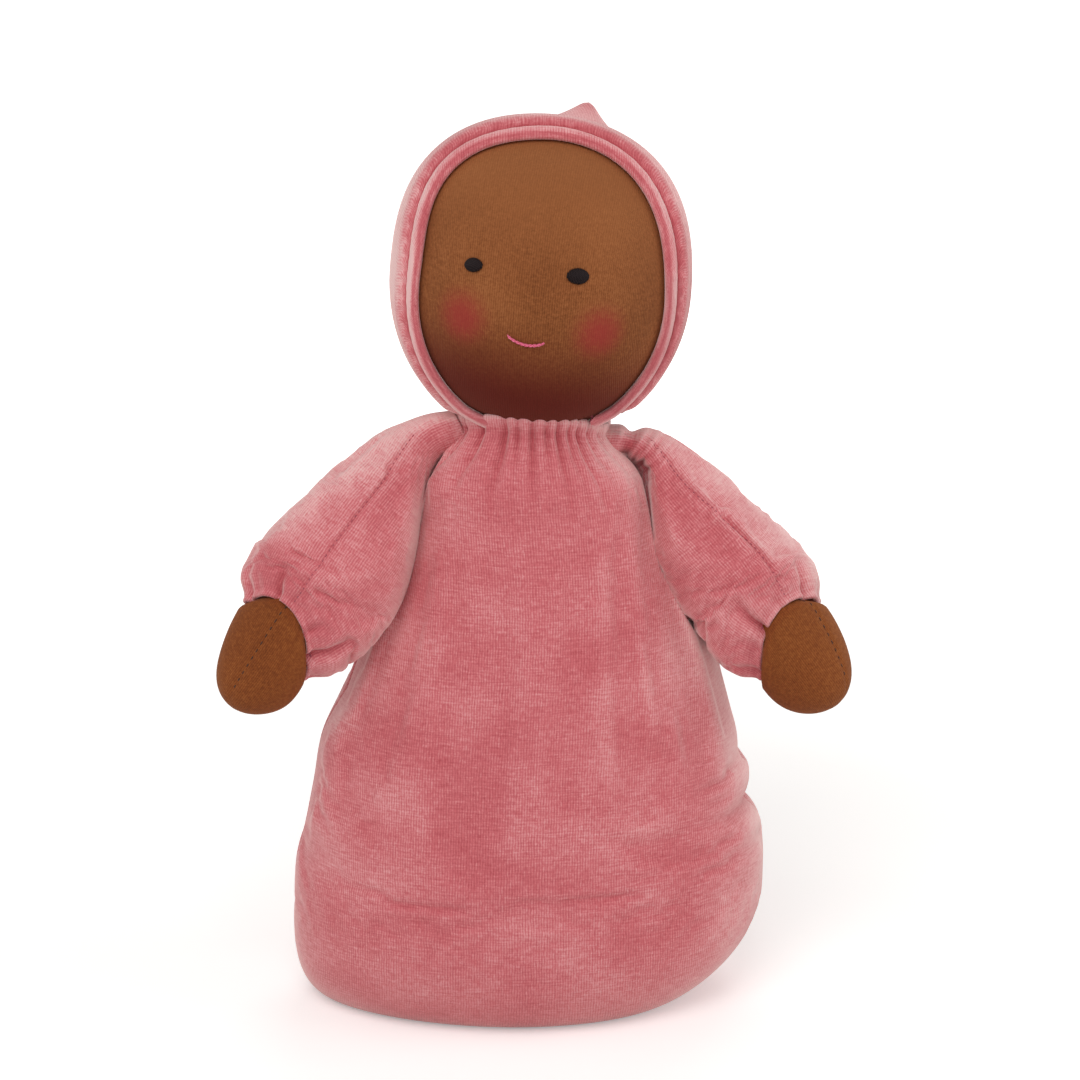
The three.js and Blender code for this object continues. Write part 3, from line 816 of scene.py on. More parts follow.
@dataclass
class Arm:
    """One arm of the doll: a velour sleeve with a drawn-up cuff, and its jersey hand. Lengths are
    in mm, and along the arm they are measured from the shoulder's crease. Angles round the arm are
    0 outwards and a quarter turn at the front."""

    side: Side
    pleats: tuple[Pleat, ...]
    crease: tuple[float, float, float] = (37.065, -2.0, 195.5)
    crease_bend: float = 7.0
    splay: float = 37.8
    forward: float = 16.0
    lie: tuple[float, float, float] = (-1.5, 0.0, 4.9)
    root: float = -12.0
    root_drop: float = 0.4
    cuff: float = 85.0
    knots: tuple[float, ...] = (-15, -6, 0, 10, 20, 32, 46, 60, 72, 80, 85)
    outer: tuple[float, ...] = (3.6, 5.4, 7.0, 12.4, 16.6, 19.6, 22.8, 24.2, 22.2, 20.4, 15.8)
    inner: tuple[float, ...] = (7.6, 9.0, 9.2, 10.2, 13.6, 19.8, 25.4, 27.2, 26.2, 22.6, 17.4)
    depth: tuple[float, ...] = (6.2, 8.3, 9.5, 13, 16.5, 20, 22.2, 22, 20.2, 17.9, 15.7)
    cuff_drop: float = 3.0
    cuff_rise: float = 6.0
    cuff_slant: float = 12.0
    seam_offset: tuple[tuple[float, float], ...] = ((0, 2.6), (32, 2.8), (66, 2.1), (85, 1.6))
    pinch: float = 0.0
    cloth_pass: ClothPass = ClothPass(pressure=2.4, spare=0.035, weight=0.1, frames=18, most=1.5)
    sleeve_fill: float = 0.8
    cuff_thickness: float = 2.0
    cuff_inside: tuple[float, float] = (4.0, 9.0)
    rows: int = 168
    columns: int = 208
    shoulder_bend: tuple[float, float] = (-4.0, 16.0)
    hand_start: float = 72.0
    hand_middle: float = 88.5
    hand_tip: float = 110.0
    hand_radius: float = 16.1
    hand_neck: float = 12.3
    hand_aside: float = -2.3
    hand_seam: tuple[float, float] = (76.0, 72.0)
    hand_columns: int = 128
    hand_fill: float = 0.95
    sleeve_stitches: StitchLine = StitchLine(stitch=1.15, space=0.85, thread=0.2, proud=0.02)
    hand_stitches: StitchLine = StitchLine(stitch=1.7, space=1.2, thread=0.2, proud=0.1)
    cuff_thread: float = 0.5

    def __post_init__(self) -> None:
        """Works out the arm's own directions."""
        turn, way = math.radians(self.splay), self.side.value
        swing = turned((-self.forward, "X"))
        self.pivot = np.array(self.crease) * (way, 1, 1)
        self.middle = self.pivot + np.array(self.lie)
        self.axis = swing @ np.array([way * math.sin(turn), 0.0, -math.cos(turn)])
        self.front = swing @ np.array([0.0, -1.0, 0.0])
        self.inward = np.array([way * math.sqrt(1 - self.root_drop ** 2), 0.0, -self.root_drop])

    def line(self, along: Array) -> tuple[Array, Array]:
        """The middle of the sleeve, bent at the crease.

        Args:
            along: distances in mm.

        Returns:
            Places on the middle line, and the outward direction there.
        """
        arc = np.sqrt(along ** 2 + self.crease_bend ** 2)
        past, before, share = (part[..., None] for part in (
            (arc + along) / 2, (arc - along) / 2, (along / arc + 1) / 2))
        ahead = share * self.axis + (1 - share) * self.inward
        place = self.middle + past * self.axis - before * self.inward
        # The bend's rounding moves the line, so it is put back through the pivot.
        back = hump(along, 0, 12)[..., None] * (self.axis - self.inward) * self.crease_bend / 2
        return place - back, unit(self.side.value * np.cross(self.front, ahead))

    def placed(self, along: Array, angle: Array, across: Array, deep: Array, aside: Array | float = 0.0
               ) -> Array:
        """Places round the arm. The arm is drawn back in front of the hand and let down below it,
        because the cuff sits on the hand at a slant.

        Args:
            along: distances in mm, as if the cuff were straight.
            angle: round the arm, in radians.
            across: half size in and out.
            deep: half size front and back.
            aside: how far the arm is moved outwards.

        Returns:
            The places in mm.
        """
        below = (1 - np.cos(angle)) / 2
        move = self.cuff_drop * below - self.cuff_rise * (1 - below)
        move = move - self.cuff_slant * np.clip(np.sin(angle), 0, 1) ** 1.3
        slanted = along + move * rise(along, 45, self.cuff) * (1 - rise(along, self.cuff, self.hand_tip))
        place, out = self.line(slanted)
        return (place + (aside + across * np.cos(angle))[..., None] * out
                + (deep * np.sin(angle))[..., None] * self.front)

    def section(self, along: Array, angle: Array) -> tuple[Array, Array]:
        """Half sizes of the sleeve.

        Args:
            along: distances in mm.
            angle: round the sleeve.

        Returns:
            The half size in and out, and the half size front and back.
        """
        out, within, deep = (smooth_curve(self.knots, size, along)
                             for size in (self.outer, self.inner, self.depth))
        return out + (within - out) * rise((1 - np.cos(angle)) / 2, 0.2, 0.8), deep

    def seam_angle(self, along: Array) -> Array:
        """The angle at which the sleeve's seam runs, by distance along."""
        half, _ = self.section(along, np.full_like(along, 1.2))
        return np.arccos(np.clip(smooth_curve(*zip(*self.seam_offset), along) / half, -0.9, 0.9))

    def sleeve_form(self, along: Array, angle: Array) -> Array:
        """The sleeve's outside, with its pleats, seam and creases.

        Args:
            along: distances in mm.
            angle: round the sleeve.

        Returns:
            Places in mm.
        """
        across, deep = self.section(along, angle)
        below, radius = self.cuff - along, (across + deep) / 2
        sink = sum(pleat.valley(angle, radius, np.maximum(below, 0)) for pleat in self.pleats)
        sink += 0.22 * np.cos(19 * angle + 2 * np.sin(3 * angle)) * (1 - rise(below, 0, 9))
        off = (angle - self.seam_angle(along)) * radius
        sink += 0.42 * hump(off, 0, 0.7) - 0.14 * hump(np.abs(off), 1.9, 1.1)
        # Creases that the shoulder's pinch leaves, round the fold at the front and below.
        facing = rise(np.cos(angle - math.radians(100)), -0.2, 0.9)
        folds = np.cos(2 * math.pi * (along - 1.5) / 3.4) * hump(along, 4, 6)
        sink += self.pinch * (0.8 * folds * facing + 2.6 * hump(along, -3.2, 2.3))
        # Below the pinch the sleeve stands a little off the sack.
        sink += self.pinch * 3.0 * hump(np.degrees(angle), 152, 36) * hump(along, 7.5, 4.4)
        return self.placed(along, angle, across - sink, deep - sink)

    def covers(self, places: Array) -> Array:
        """How far inside the sleeve each place is, as a share of the sleeve's section.

        Args:
            places: in mm.

        Returns:
            Under 1 inside, over 1 outside.
        """
        rel = places - self.middle
        along, ahead = rel @ self.axis, rel @ self.front
        aside = rel @ (self.side.value * np.cross(self.front, self.axis))
        across, deep = self.section(along, np.arctan2(ahead, aside))
        share = np.hypot(aside / across, ahead / deep)
        return np.where((along > 1) & (along < self.cuff), share, 9.0)

    def build_sleeve(self, velour: Material, thread: Material) -> None:
        """Makes the sleeve with its seam and cuff thread.

        Args:
            velour: the sleeve's material.
            thread: the seam's material.
        """
        length, name = self.cuff - self.root, self.side.word

        def grid(rows: int, columns: int) -> tuple[Array, Array]:
            """Distances and angles of a grid over the sleeve."""
            return np.meshgrid(self.root + length * np.linspace(0, 1, rows), turns(columns), indexing="ij")

        along, angle = grid(56, 52)
        held = 1 - rise(along, 2, 16) + rise(along, self.cuff - 14, self.cuff - 1)
        moved = self.cloth_pass.settle(self.sleeve_form(along, angle), held, self.rows, self.columns)
        places = self.sleeve_form(*grid(self.rows, self.columns)) + moved
        end = self.line(np.array([self.cuff]))[0][0]
        lip = round_lip(places[-1], end, self.axis, self.cuff_thickness, self.cuff_inside)
        cap = [places[0] * k + places[0].mean(axis=0) * (1 - k) for k in (0.02, 0.5, 0.85)]
        sleeve = Cloth(np.concatenate([np.stack(cap), places, lip]), flip=self.side is Side.RIGHT,
                       middle=self.columns // 4)
        self.dress(sleeve.mesh(f"{name}_sleeve_velour", velour),
                   (f"{name}_sleeve", f"{name}_sleeve_filling", f"{name}_shoulder_tuck"))

        runs = np.arange(2.0, self.cuff - 0.5, 0.8)
        columns = self.seam_angle(runs) / (2 * math.pi) * self.columns
        rows = (runs - self.root) / length * (self.rows - 1) + len(cap)
        seam = self.sleeve_stitches.sew(f"{name}_sleeve_seam", *sleeve.at(rows, columns), thread)
        self.dress(seam)

        # The drawn thread runs inside the folded edge.
        loop = (lip[5] + lip[-2]) / 2 + 0.55 * (lip[0] - lip[5])
        drawn = threads(f"{name}_cuff_gathering_thread", [np.concatenate([loop, loop[:1]])],
                        self.cuff_thread, 8, thread)
        declare(drawn, f"{name}_arm", (f"{name}_cuff_thread",))

    def dress(self, piece: Object,
              nodes: Sequence[str] = ()) -> None:
        """Declares a piece that lies between two of the arm's bodies, and rides on neither.

        Args:
            piece: the piece.
            nodes: of the frame, that it is shown for.
        """
        declare(piece, None, nodes)
        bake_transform(piece)

    def hand_seam_angle(self, along: Array) -> Array:
        """The angle at which the hand's seam runs, by distance along."""
        first, later = np.radians(self.hand_seam)
        return first + (along - 80) / 30 * (later - first)

    def hand_form(self, along: Array, angle: Array) -> Array:
        """The hand's outside: a neck inside the cuff, then an egg.

        Args:
            along: distances in mm.
            angle: round the hand.

        Returns:
            Places in mm.
        """
        reach = self.hand_tip - self.hand_middle
        egg = np.sqrt(np.clip(1 - ((along - self.hand_middle) / reach) ** 2, 0, 1))
        neck = smooth_curve((self.hand_start, 82, 85.5, self.hand_middle), (
            self.hand_neck, self.hand_neck, self.hand_neck + 1.4, self.hand_radius), along)
        radius = np.where(along > self.hand_middle, self.hand_radius * egg, neck)
        off = (angle - self.hand_seam_angle(along)) * radius
        radius = radius - 0.32 * hump(off, 0, 0.7) + 0.1 * hump(np.abs(off), 1.8, 1)
        radius = radius + 0.14 * np.sin(3 * angle + along / 7) + 0.1 * np.sin(5 * angle - along / 5)
        return self.placed(along, angle, radius, radius, self.hand_aside * rise(along, 76, 102))

    def build_hand(self, jersey: Material, thread: Material) -> None:
        """Makes the hand with its seam.

        Args:
            jersey: the hand's material.
            thread: the seam's material.
        """
        name, bodies, bend = self.side.word, ("arm", "hand"), (self.cuff - 3, self.cuff + 6)
        egg = (self.hand_tip - self.hand_middle) * np.sin(np.linspace(0, math.pi / 2, 72)[1:])
        along = np.concatenate([np.linspace(self.hand_start, self.hand_middle, 30), self.hand_middle + egg])
        places = self.hand_form(*np.meshgrid(along, turns(self.hand_columns), indexing="ij"))
        hand = Cloth(places, flip=self.side is Side.RIGHT, middle=self.hand_columns // 4)
        self.dress(hand.mesh(f"{name}_hand_jersey", jersey),
                   (f"{name}_hand_skin", f"{name}_hand_filling"))
        run = np.arange(self.cuff, self.hand_tip - 4, 0.6)
        path = hand.at(np.interp(run, along, np.arange(len(along))),
                       self.hand_seam_angle(run) / (2 * math.pi) * self.hand_columns)
        seam = self.hand_stitches.sew(f"{name}_hand_seam", *path, thread)
        self.dress(seam)


# The sack


@dataclass(frozen=True)
class SagFold:
    """A crease where the sack's side sinks on itself."""

    height: float
    depth: float
    width: float
    turn: float
    spread: float
    slope: float

    def sink(self, angle: Array, height: Array) -> Array:
        """How far in the crease draws the sack.

        Args:
            angle: round the sack from its front, in radians.
            height: in mm.

        Returns:
            Depths in mm.
        """
        off = aside_by(angle, self.turn) / self.spread
        below = (height - self.height - self.slope * off) / self.width
        ridges = 0.3 * hump(below, -2.2, 1.4) + 0.25 * hump(below, 2.4, 1.5)
        return self.depth * hump(off, 0, 1) * (np.exp(-np.abs(below) ** 1.5) - ridges)


@dataclass
class Sack:
    """The sack that is the doll's body: a front and a back panel of velour, drawn up in pleats at
    the neckline, heavy and spread at the base. Lengths are in mm, and angles are round the sack
    from its front towards +X."""

    pleats: tuple[Pleat, ...]
    folds: tuple[SagFold, ...]
    top: float = 207.4
    cut_height: float = 203.5
    hip_height: float = 35.0
    hip_half: tuple[float, float] = (81.5, 50.0)
    foot_half: tuple[float, float] = (54.0, 31.0)
    foot_lean: float = 11.2
    foot_lean_height: float = 42.0
    # Side, size, height and spread of each bulge.
    bulges: tuple[tuple[int, float, float, float], ...] = (
        (1, 1.2, 54.0, 11.0), (-1, 2.6, 96.0, 14.0), (-1, 4.0, 188.0, 9.0))
    neck_bulge: tuple[float, float] = (3.6, 2.6)
    neck_bulge_height: float = 187.0
    neck_bulge_spread: float = 9.0
    slump: float = 3.9
    neck_half: float = 25.0
    base_cut: float = 0.5
    taper: float = 1.6
    flare: float = 1.2
    chin_flare: float = 0.3
    chin_lift: float = 3.5
    nape_drop: float = 1.4
    shift: float = -2.6
    edge_thickness: float = 1.8
    thread_radius: float = 19.9
    loop_turn: float = 42.0
    seam_groove: tuple[float, float] = (0.9, 1.3)
    pleat_radius: float = 34.0
    cloth_pass: ClothPass = ClothPass(pressure=1.6, spare=0.02, weight=0.2, frames=16, most=0.75)
    free_above: tuple[float, float] = (8.0, 62.0)
    free_below: tuple[float, float] = (170.0, 196.0)
    fill: float = 0.75
    rows: int = 300
    columns: int = 480
    roll_share: float = 0.2
    side_stitches: StitchLine = StitchLine(stitch=1.9, space=2.2, thread=0.2, proud=-0.15)
    drawn_thread: float = 0.42

    def half(self, height: Array, which: int) -> Array:
        """Half size of the sack at a height.

        Args:
            height: in mm.
            which: 0 for its width, 1 for its depth.

        Returns:
            Half sizes in mm.
        """
        hip, foot = self.hip_half[which], self.foot_half[which]
        depth = np.clip((self.hip_height - height) / (self.hip_height + self.base_cut), 0, 1)
        low = foot + (hip - foot) * np.sqrt(1 - depth ** 2)
        share = np.clip((height - self.hip_height) / (self.cut_height - self.hip_height), 0, 1)
        high = self.neck_half + (hip - self.neck_half) * (1 - share ** self.taper)
        high = high + self.flare * rise(height, 203, self.top)
        high = high + self.neck_bulge[which] * hump(height, self.neck_bulge_height, self.neck_bulge_spread)
        return np.where(height < self.hip_height, low, high)

    def grid(self, rows: int, columns: int) -> tuple[Array, Array]:
        """Angles and heights of a grid over the sack, from the right side seam on. The rows are
        close together where the base rolls under.

        Args:
            rows: how many.
            columns: how many.

        Returns:
            Angles in radians, and heights in mm.
        """
        share = np.linspace(0, 1, rows)
        reach = self.hip_height + self.base_cut
        lowest = math.asin(self.hip_height / reach)
        roll = self.hip_height - reach * np.sin(lowest * (1 - np.clip(share / self.roll_share, 0, 1)))
        up = (share - self.roll_share) / (1 - self.roll_share)
        upright = self.hip_height + (self.top - self.hip_height) * up
        height = np.where(share < self.roll_share, roll, upright)
        height, turn = np.meshgrid(height, turns(columns) - math.pi / 2, indexing="ij")
        return turn, height

    def form(self, angle: Array, height: Array) -> Array:
        """The sack's outside, with its pleats, folds and the grooves of its seams.

        Args:
            angle: in radians.
            height: in mm.

        Returns:
            Places in mm.
        """
        across, deep = self.half(height, 0), self.half(height, 1)
        lean, ahead = np.sin(angle), rise(np.cos(angle), 0.3, 0.95)
        foot = np.clip(1 - height / self.foot_lean_height, 0, 1)
        across = across - self.foot_lean * lean * np.abs(lean) * foot ** 2
        for way, size, middle, spread in self.bulges:
            across = across + size * np.maximum(way * lean, 0) * hump(height, middle, spread)
        deep = deep + self.chin_flare * ahead * rise(height, 203, self.top)
        below, radius = self.top - height, np.minimum((across + deep) / 2, self.pleat_radius)
        valley = sum(pleat.valley(angle, radius, below) for pleat in self.pleats)
        valley = valley * (1 - 0.35 * rise(below, 6.0, 0.0))
        sink = sum(fold.sink(angle, height) for fold in self.folds) + valley
        groove, wide = self.seam_groove
        for seam in (-90, 90):
            sink += groove * hump(np.radians(aside_by(angle, seam)) * across, 0, wide)
        x = (across - sink) * lean
        x = x + self.shift * rise(height, 140, self.top) - self.slump * rise(height, 165, 50)
        upper = rise(height, 190, self.top)
        lift = self.chin_lift * ahead * rise(height, 196, self.top)
        lift = lift - 0.4 * np.minimum(valley, 1.6) * rise(height, 198, self.top)
        lift = lift - self.nape_drop * rise(-np.cos(angle), -0.1, 0.9) * upper
        lift = lift - (0.03 * x + 0.1 * np.maximum(x, 0)) * upper
        return np.stack([x, (sink - deep) * np.cos(angle), height + lift], axis=-1)

    def pressed(self, places: Array, arms: Sequence[Arm]) -> Array:
        """The sack where the arms lie on it: its fabric gives way to theirs.

        Args:
            places: the sack's grid in mm.
            arms: the doll's arms.

        Returns:
            How far each place gives way, in mm.
        """
        moved = np.zeros_like(places)
        inward = unit(places * (-1.0, -1.0, 0.0))
        for _ in range(30):
            inside = np.any([arm.covers(places + moved) < 1.015 for arm in arms], axis=0)
            moved += inward * (inside[..., None] * 0.35)
        return blurred(moved, 3)

    def build(self, velour: Material, thread: Material, arms: Sequence[Arm]) -> None:
        """Makes both panels, the side seams and the neckline's thread.

        Args:
            velour: the sack's material.
            thread: the thread's material.
            arms: the arms that lie against it.
        """
        angle, height = self.grid(76, 96)
        held = np.clip(1 - rise(height, *self.free_above) + rise(height, *self.free_below), 0, 1)
        moved = self.cloth_pass.settle(self.form(angle, height), held, self.rows, self.columns)
        angle, height = self.grid(self.rows, self.columns)
        places = self.form(angle, height) + moved * rise(height, 6, 70)[..., None]
        places[..., 2] = np.maximum(places[..., 2], 0.0)
        places = places + self.pressed(places, arms)
        lip = round_lip(places[-1], places[-1].mean(axis=0), np.array([0.0, 0.0, 1.0]),
                        self.edge_thickness, (3.0, 8.0), 2.4)
        under = [places[0] * (k, k, 0.0) for k in (0.02, 0.35, 0.7)]
        whole = np.concatenate([np.stack(under), places, lip])
        half = self.columns // 2
        for name, cut, nodes in (
                ("sack_front_velour", whole[:, :half + 1],
                 ("body_front_panel", "torso_wool_filling", "base_weight_pouch", "base_weight_grain")),
                ("sack_back_velour", np.concatenate([whole[:, half:], whole[:, :1]], axis=1),
                 ("body_back_panel",))):
            made = Cloth(cut, closed=False, middle=half // 2).mesh(name, velour)
            declare(made, "torso", nodes)
        rows = np.arange(12, self.rows - 8, 1.0)
        for side, column in ((Side.RIGHT, 0.0), (Side.LEFT, float(half))):
            path = Cloth(whole).at(rows, np.full_like(rows, column))
            seam = self.side_stitches.sew(f"sack_{side.word}_side_seam", *path, thread)
            declare(seam, "torso")

        # The drawn thread runs inside the folded edge, and its end shows as a tiny loop.
        turn = np.linspace(0, 2 * math.pi, 160)
        ring = lip[5].mean(axis=0) + np.stack([
            self.thread_radius * np.sin(turn), -self.thread_radius * np.cos(turn), -4.4 + 0 * turn], axis=1)
        where = round((90 + self.loop_turn) / 360 * self.columns)
        knot = lip[int(np.argmax(lip[:, where, 2])), where]
        curl = np.linspace(0.1 * math.pi, 1.9 * math.pi, 26)
        loop = knot + np.stack([1.6 * np.sin(curl), -0.4 * np.sin(curl), 0.8 - 1.4 * np.cos(curl)], axis=1)
        drawn = threads("neckline_drawn_thread", [ring, loop], self.drawn_thread, 8, thread)
        declare(drawn, "torso", ("neckline_gather_thread",))


# The head


@dataclass
class Head:
    """The wool ball in its jersey, with embroidered eyes and mouth, in a pointed velour hood.
    Lengths are in mm, and turns and rises in degrees. The head's own frame has the face at -Y.
    The hood's angles are polar, from its opening's axis, and around that axis, from the doll's left
    over the top."""

    centre: tuple[float, float, float] = (0.0, 0.0, 251.914)
    turn: float = -10.5
    pitch: float = -8.0
    roll: float = 5.0
    radius: float = 46.4
    half_height: float = 49.0
    corner_fill: tuple[float, float] = (0.062, 0.046)
    crown_fill: float = 0.028
    eye_turn: float = 20.9
    eye_rise: float = 5.5
    eye_aside: float = -1.0
    eye_half: tuple[float, float] = (3.5, 2.6)
    far_eye_share: float = 0.87
    mouth_rise: float = -19.6
    mouth_aside: float = 2.0
    mouth_width: float = 13.0
    mouth_dip: float = 2.3
    mouth_lean: float = -0.014
    hood_radius: float = 48.6
    opening_turn: float = 6.5
    opening_lean: float = 6.0
    opening_roll: float = -5.0
    opening_half: float = 40.6
    opening_drop: float = 7.6
    opening_up: float = 48.6
    opening_down: float = 41.5
    opening_widest: float = 78.0
    hem_width: float = 6.6
    hem_distances: tuple[float, ...] = (1.9, 0.6, -0.5, -0.9, -0.4, 0.8, 2.2, 3.5, 4.7, 5.6, 6.1, 6.6)
    hem_radii: tuple[float, ...] = (
        46.2, 46.7, 47.3, 48.2, 49.1, 49.7, 49.9, 49.7, 49.1, 48.1, 47.2, 46.4)
    hem_rows: int = 44
    stitched_row: float = 38.6
    shell_distances: tuple[float, ...] = (6.4, 7.0, 7.8, 9.2, 12.6, 18.6, 60.0)
    shell_radii: tuple[float, ...] = (47.4, 48.2, 48.9, 49.2, 48.9, 48.5, 48.4)
    shell_rows: int = 240
    shell_thickness: float = 1.6
    point_turn: float = 13.0
    point_rise: float = 60.0
    point_height: float = 12.6
    point_base: float = 16.0
    collar: float = 26.6
    neck_height: float = 203.5
    columns: int = 420
    jersey_grid: tuple[int, int] = (150, 240)
    fill: float = 0.98
    eye_thread: float = 0.34
    mouth_thread: float = 0.3
    topstitches: StitchLine = StitchLine(stitch=1.7, space=0.8, thread=0.28, proud=0.5)
    back_stitches: StitchLine = StitchLine(stitch=1.5, space=1.3, thread=0.2, proud=0.1)

    def __post_init__(self) -> None:
        """Works out the directions of the head, its hood's opening and the hood's point."""
        self.stand = turned((self.turn, "Z"), (self.roll, "Y"), (self.pitch, "X"))
        self.aim = turned((self.opening_turn, "Z"), (-self.opening_lean, "X"),
                          (self.opening_roll, "Y"))
        self.stretch = self.half_height / self.radius
        turn, up = math.radians(self.point_turn), math.radians(self.point_rise)
        self.tip = np.array([math.sin(turn) * math.cos(up), math.cos(turn) * math.cos(up), math.sin(up)])

    def placed(self, own: Array) -> Array:
        """Places in the head's own frame, moved to where the head is.

        Args:
            own: places in mm.

        Returns:
            Places in the doll's frame.
        """
        # The wool is packed full at the upper corners, so the head is a little square there.
        far = np.hypot(own[..., 0], own[..., 2])
        reach = np.maximum(far, 1e-6)
        side, up = own[..., 0] / reach, np.maximum(own[..., 2], 0) / reach
        corner = np.where(side < 0, *self.corner_fill) * (2 * side * up) ** 2 + self.crown_fill * up ** 4
        fuller = 1 + corner * rise(far, 10, 46)
        full = np.stack([own[..., 0] * fuller, own[..., 1], own[..., 2] * fuller], axis=-1)
        return full @ self.stand.T + np.array(self.centre)

    def on_face(self, azimuth: Array, elevation: Array, above: Array | float) -> Array:
        """Places on the face by their angles from its middle.

        Args:
            azimuth: in radians, towards the doll's left.
            elevation: in radians.
            above: height over the jersey in mm.

        Returns:
            Places in the doll's frame.
        """
        radius = self.radius + above
        return self.placed(np.stack([
            radius * np.sin(azimuth) * np.cos(elevation), -radius * np.cos(azimuth) * np.cos(elevation),
            radius * np.sin(elevation) * self.stretch], axis=-1))

    def eye_middle(self, side: Side) -> tuple[float, float]:
        """Returns an eye's azimuth and elevation in radians."""
        return math.radians(side.value * self.eye_turn + self.eye_aside), math.radians(self.eye_rise)

    def build_jersey(self, jersey: Material) -> None:
        """Makes the jersey over the wool ball.

        Args:
            jersey: its material.
        """
        pole, (rows, columns) = math.pi / 2 - 0.01, self.jersey_grid
        elevation, azimuth = np.meshgrid(np.linspace(-pole, pole, rows), turns(columns) - math.pi,
                                         indexing="ij")
        above = 0.12 * np.sin(3 * azimuth + 1) * np.cos(elevation) + 0.1 * np.sin(5 * elevation + azimuth)
        for side in Side:
            turn, up = self.eye_middle(side)
            eye = np.hypot((azimuth - turn) * np.cos(elevation), elevation - up) * self.radius
            above = above - 0.5 * hump(eye, 0, 4.6)
        closing = np.r_[0:columns, 0]
        # The wales run upright on the face, so the fabric is measured straight across it.
        wide = ((self.radius + above) * np.sin(azimuth) * np.cos(elevation))[:, closing]
        across = self.radius * np.arcsin(np.clip(wide / (1.03 * self.radius), -1, 1))
        made = Cloth(self.on_face(azimuth, elevation, above), across=across,
                     along=self.radius * elevation[:, closing]).mesh("head_jersey", jersey)
        declare(made, "head", ("head_skin", "head_gauze_tube", "head_wool_core"))

    def build_face(self, dark: Material, pink: Material) -> None:
        """Embroiders the eyes in satin stitch, and the mouth as one curved thread.

        Args:
            dark: the eyes' silk.
            pink: the mouth's silk.
        """
        for side in Side:
            azimuth, elevation = self.eye_middle(side)
            size = self.far_eye_share if side is Side.RIGHT else 1.0
            wide, high = (half * size / self.radius for half in self.eye_half)
            runs = []
            for step in np.linspace(-0.93, 0.93, 15):
                reach = math.sqrt(1 - step * step)
                share = np.linspace(-1, 1, 13)
                dome = 1.15 * np.sqrt(np.clip(1.02 - step * step - (reach * share) ** 2, 0, 1)) - 0.25
                runs.append(self.on_face(azimuth + step * wide + 0.1 * share / self.radius,
                                         elevation + reach * share * high / self.stretch, dome))
            eye = threads(f"eye_{side.word}_satin_stitch", runs, self.eye_thread, 7, dark)
            declare(eye, "head", (f"eye_{side.word}",))

        along = np.linspace(-1, 1, 60)
        azimuth = math.radians(self.mouth_aside) + along * self.mouth_width / self.radius / 2
        elevation = math.radians(self.mouth_rise) - math.radians(self.mouth_dip) * (1 - along ** 2)
        twist = 9 * math.pi * (along + 1) / 2
        runs = [self.on_face(azimuth, elevation + 0.2 / self.radius * np.sin(ply) + self.mouth_lean * along,
                             0.42 + 0.2 * np.cos(ply) - 1.1 * np.abs(along) ** 16)
                for ply in (twist, twist + math.pi)]
        mouth = threads("mouth_twisted_silk", runs, self.mouth_thread, 8, pink)
        declare(mouth, "head", ("mouth_stitch",))

    def opening_edge(self, around: Array) -> Array:
        """How far the hood's opening is from its axis.

        Args:
            around: angle round the axis.

        Returns:
            Polar angles in radians.
        """
        side, up = np.cos(around), np.sin(around)
        # The egg's middle is below the axis, so its reach comes from a quadratic.
        reach = np.zeros_like(around)
        for tall in (self.opening_up, self.opening_down):
            a = (side / self.opening_half) ** 2 + (up / tall) ** 2
            b = self.opening_drop * up / tall ** 2
            c = (self.opening_drop / tall) ** 2 - 1
            far = (-b + np.sqrt(b * b - a * c)) / a
            above = far * up + self.opening_drop > 0
            reach = np.where(above == (tall == self.opening_up), far, reach)
        reach = reach * (1 + np.where(side < 0, 0.05, 0.01) * (2 * side * np.maximum(up, 0)) ** 2)
        widest = math.radians(self.opening_widest)
        return np.minimum(np.arcsin(np.minimum(reach / self.hood_radius, 1)), widest)

    def rays(self, polar: Array, around: Array) -> Array:
        """Directions from the head's middle in its own frame.

        Args:
            polar: angle from the opening's axis.
            around: angle round it.

        Returns:
            Directions with a length of 1.
        """
        sine = np.sin(polar)
        own = np.stack([sine * np.cos(around), -np.cos(polar), sine * np.sin(around)], axis=-1)
        return own @ self.aim.T

    def on_hood(self, polar: Array, around: Array, radius: Array) -> Array:
        """Places on the hood in the doll's frame, by their angles and radius."""
        return self.placed(self.rays(polar, around) * radius[..., None] * (1.0, 1.0, self.stretch))

    def pointed(self, polar: Array, around: Array, radius: Array) -> Array:
        """The hood's radius with its small point: hollow flanks and a round tip.

        Args:
            polar: angle from the opening's axis.
            around: angle round it.
            radius: the round hood's.

        Returns:
            Radii in mm.
        """
        cosine = np.clip(self.rays(polar, around) @ self.tip, -1, 1)
        sine = np.sqrt(1 - cosine ** 2)
        foot = math.sqrt(self.hood_radius ** 2 - self.point_base ** 2) - 1.0
        top = self.hood_radius + self.point_height - foot
        low, high = np.full_like(polar, 40.0), np.full_like(polar, 70.0)
        for _ in range(26):
            reach = (low + high) / 2
            off = np.sqrt((reach * sine) ** 2 + 6.0) - 6.0 ** 0.5
            share = 1 - np.clip(off / (self.point_base - 1.0), 0, 1) ** 0.74
            inside = reach * cosine < foot + top * share
            low, high = np.where(inside, reach, low), np.where(inside, high, reach)
        near = cosine > math.cos(math.atan2(self.point_base, foot) * 1.1)
        cone = np.where(near, low, 0.0)
        blend = 2.2
        gap = np.clip(0.5 + 0.5 * (cone - radius) / blend, 0, 1)
        return radius + (cone - radius) * gap + blend * gap * (1 - gap) * np.where(near, 0.6, 0.0)

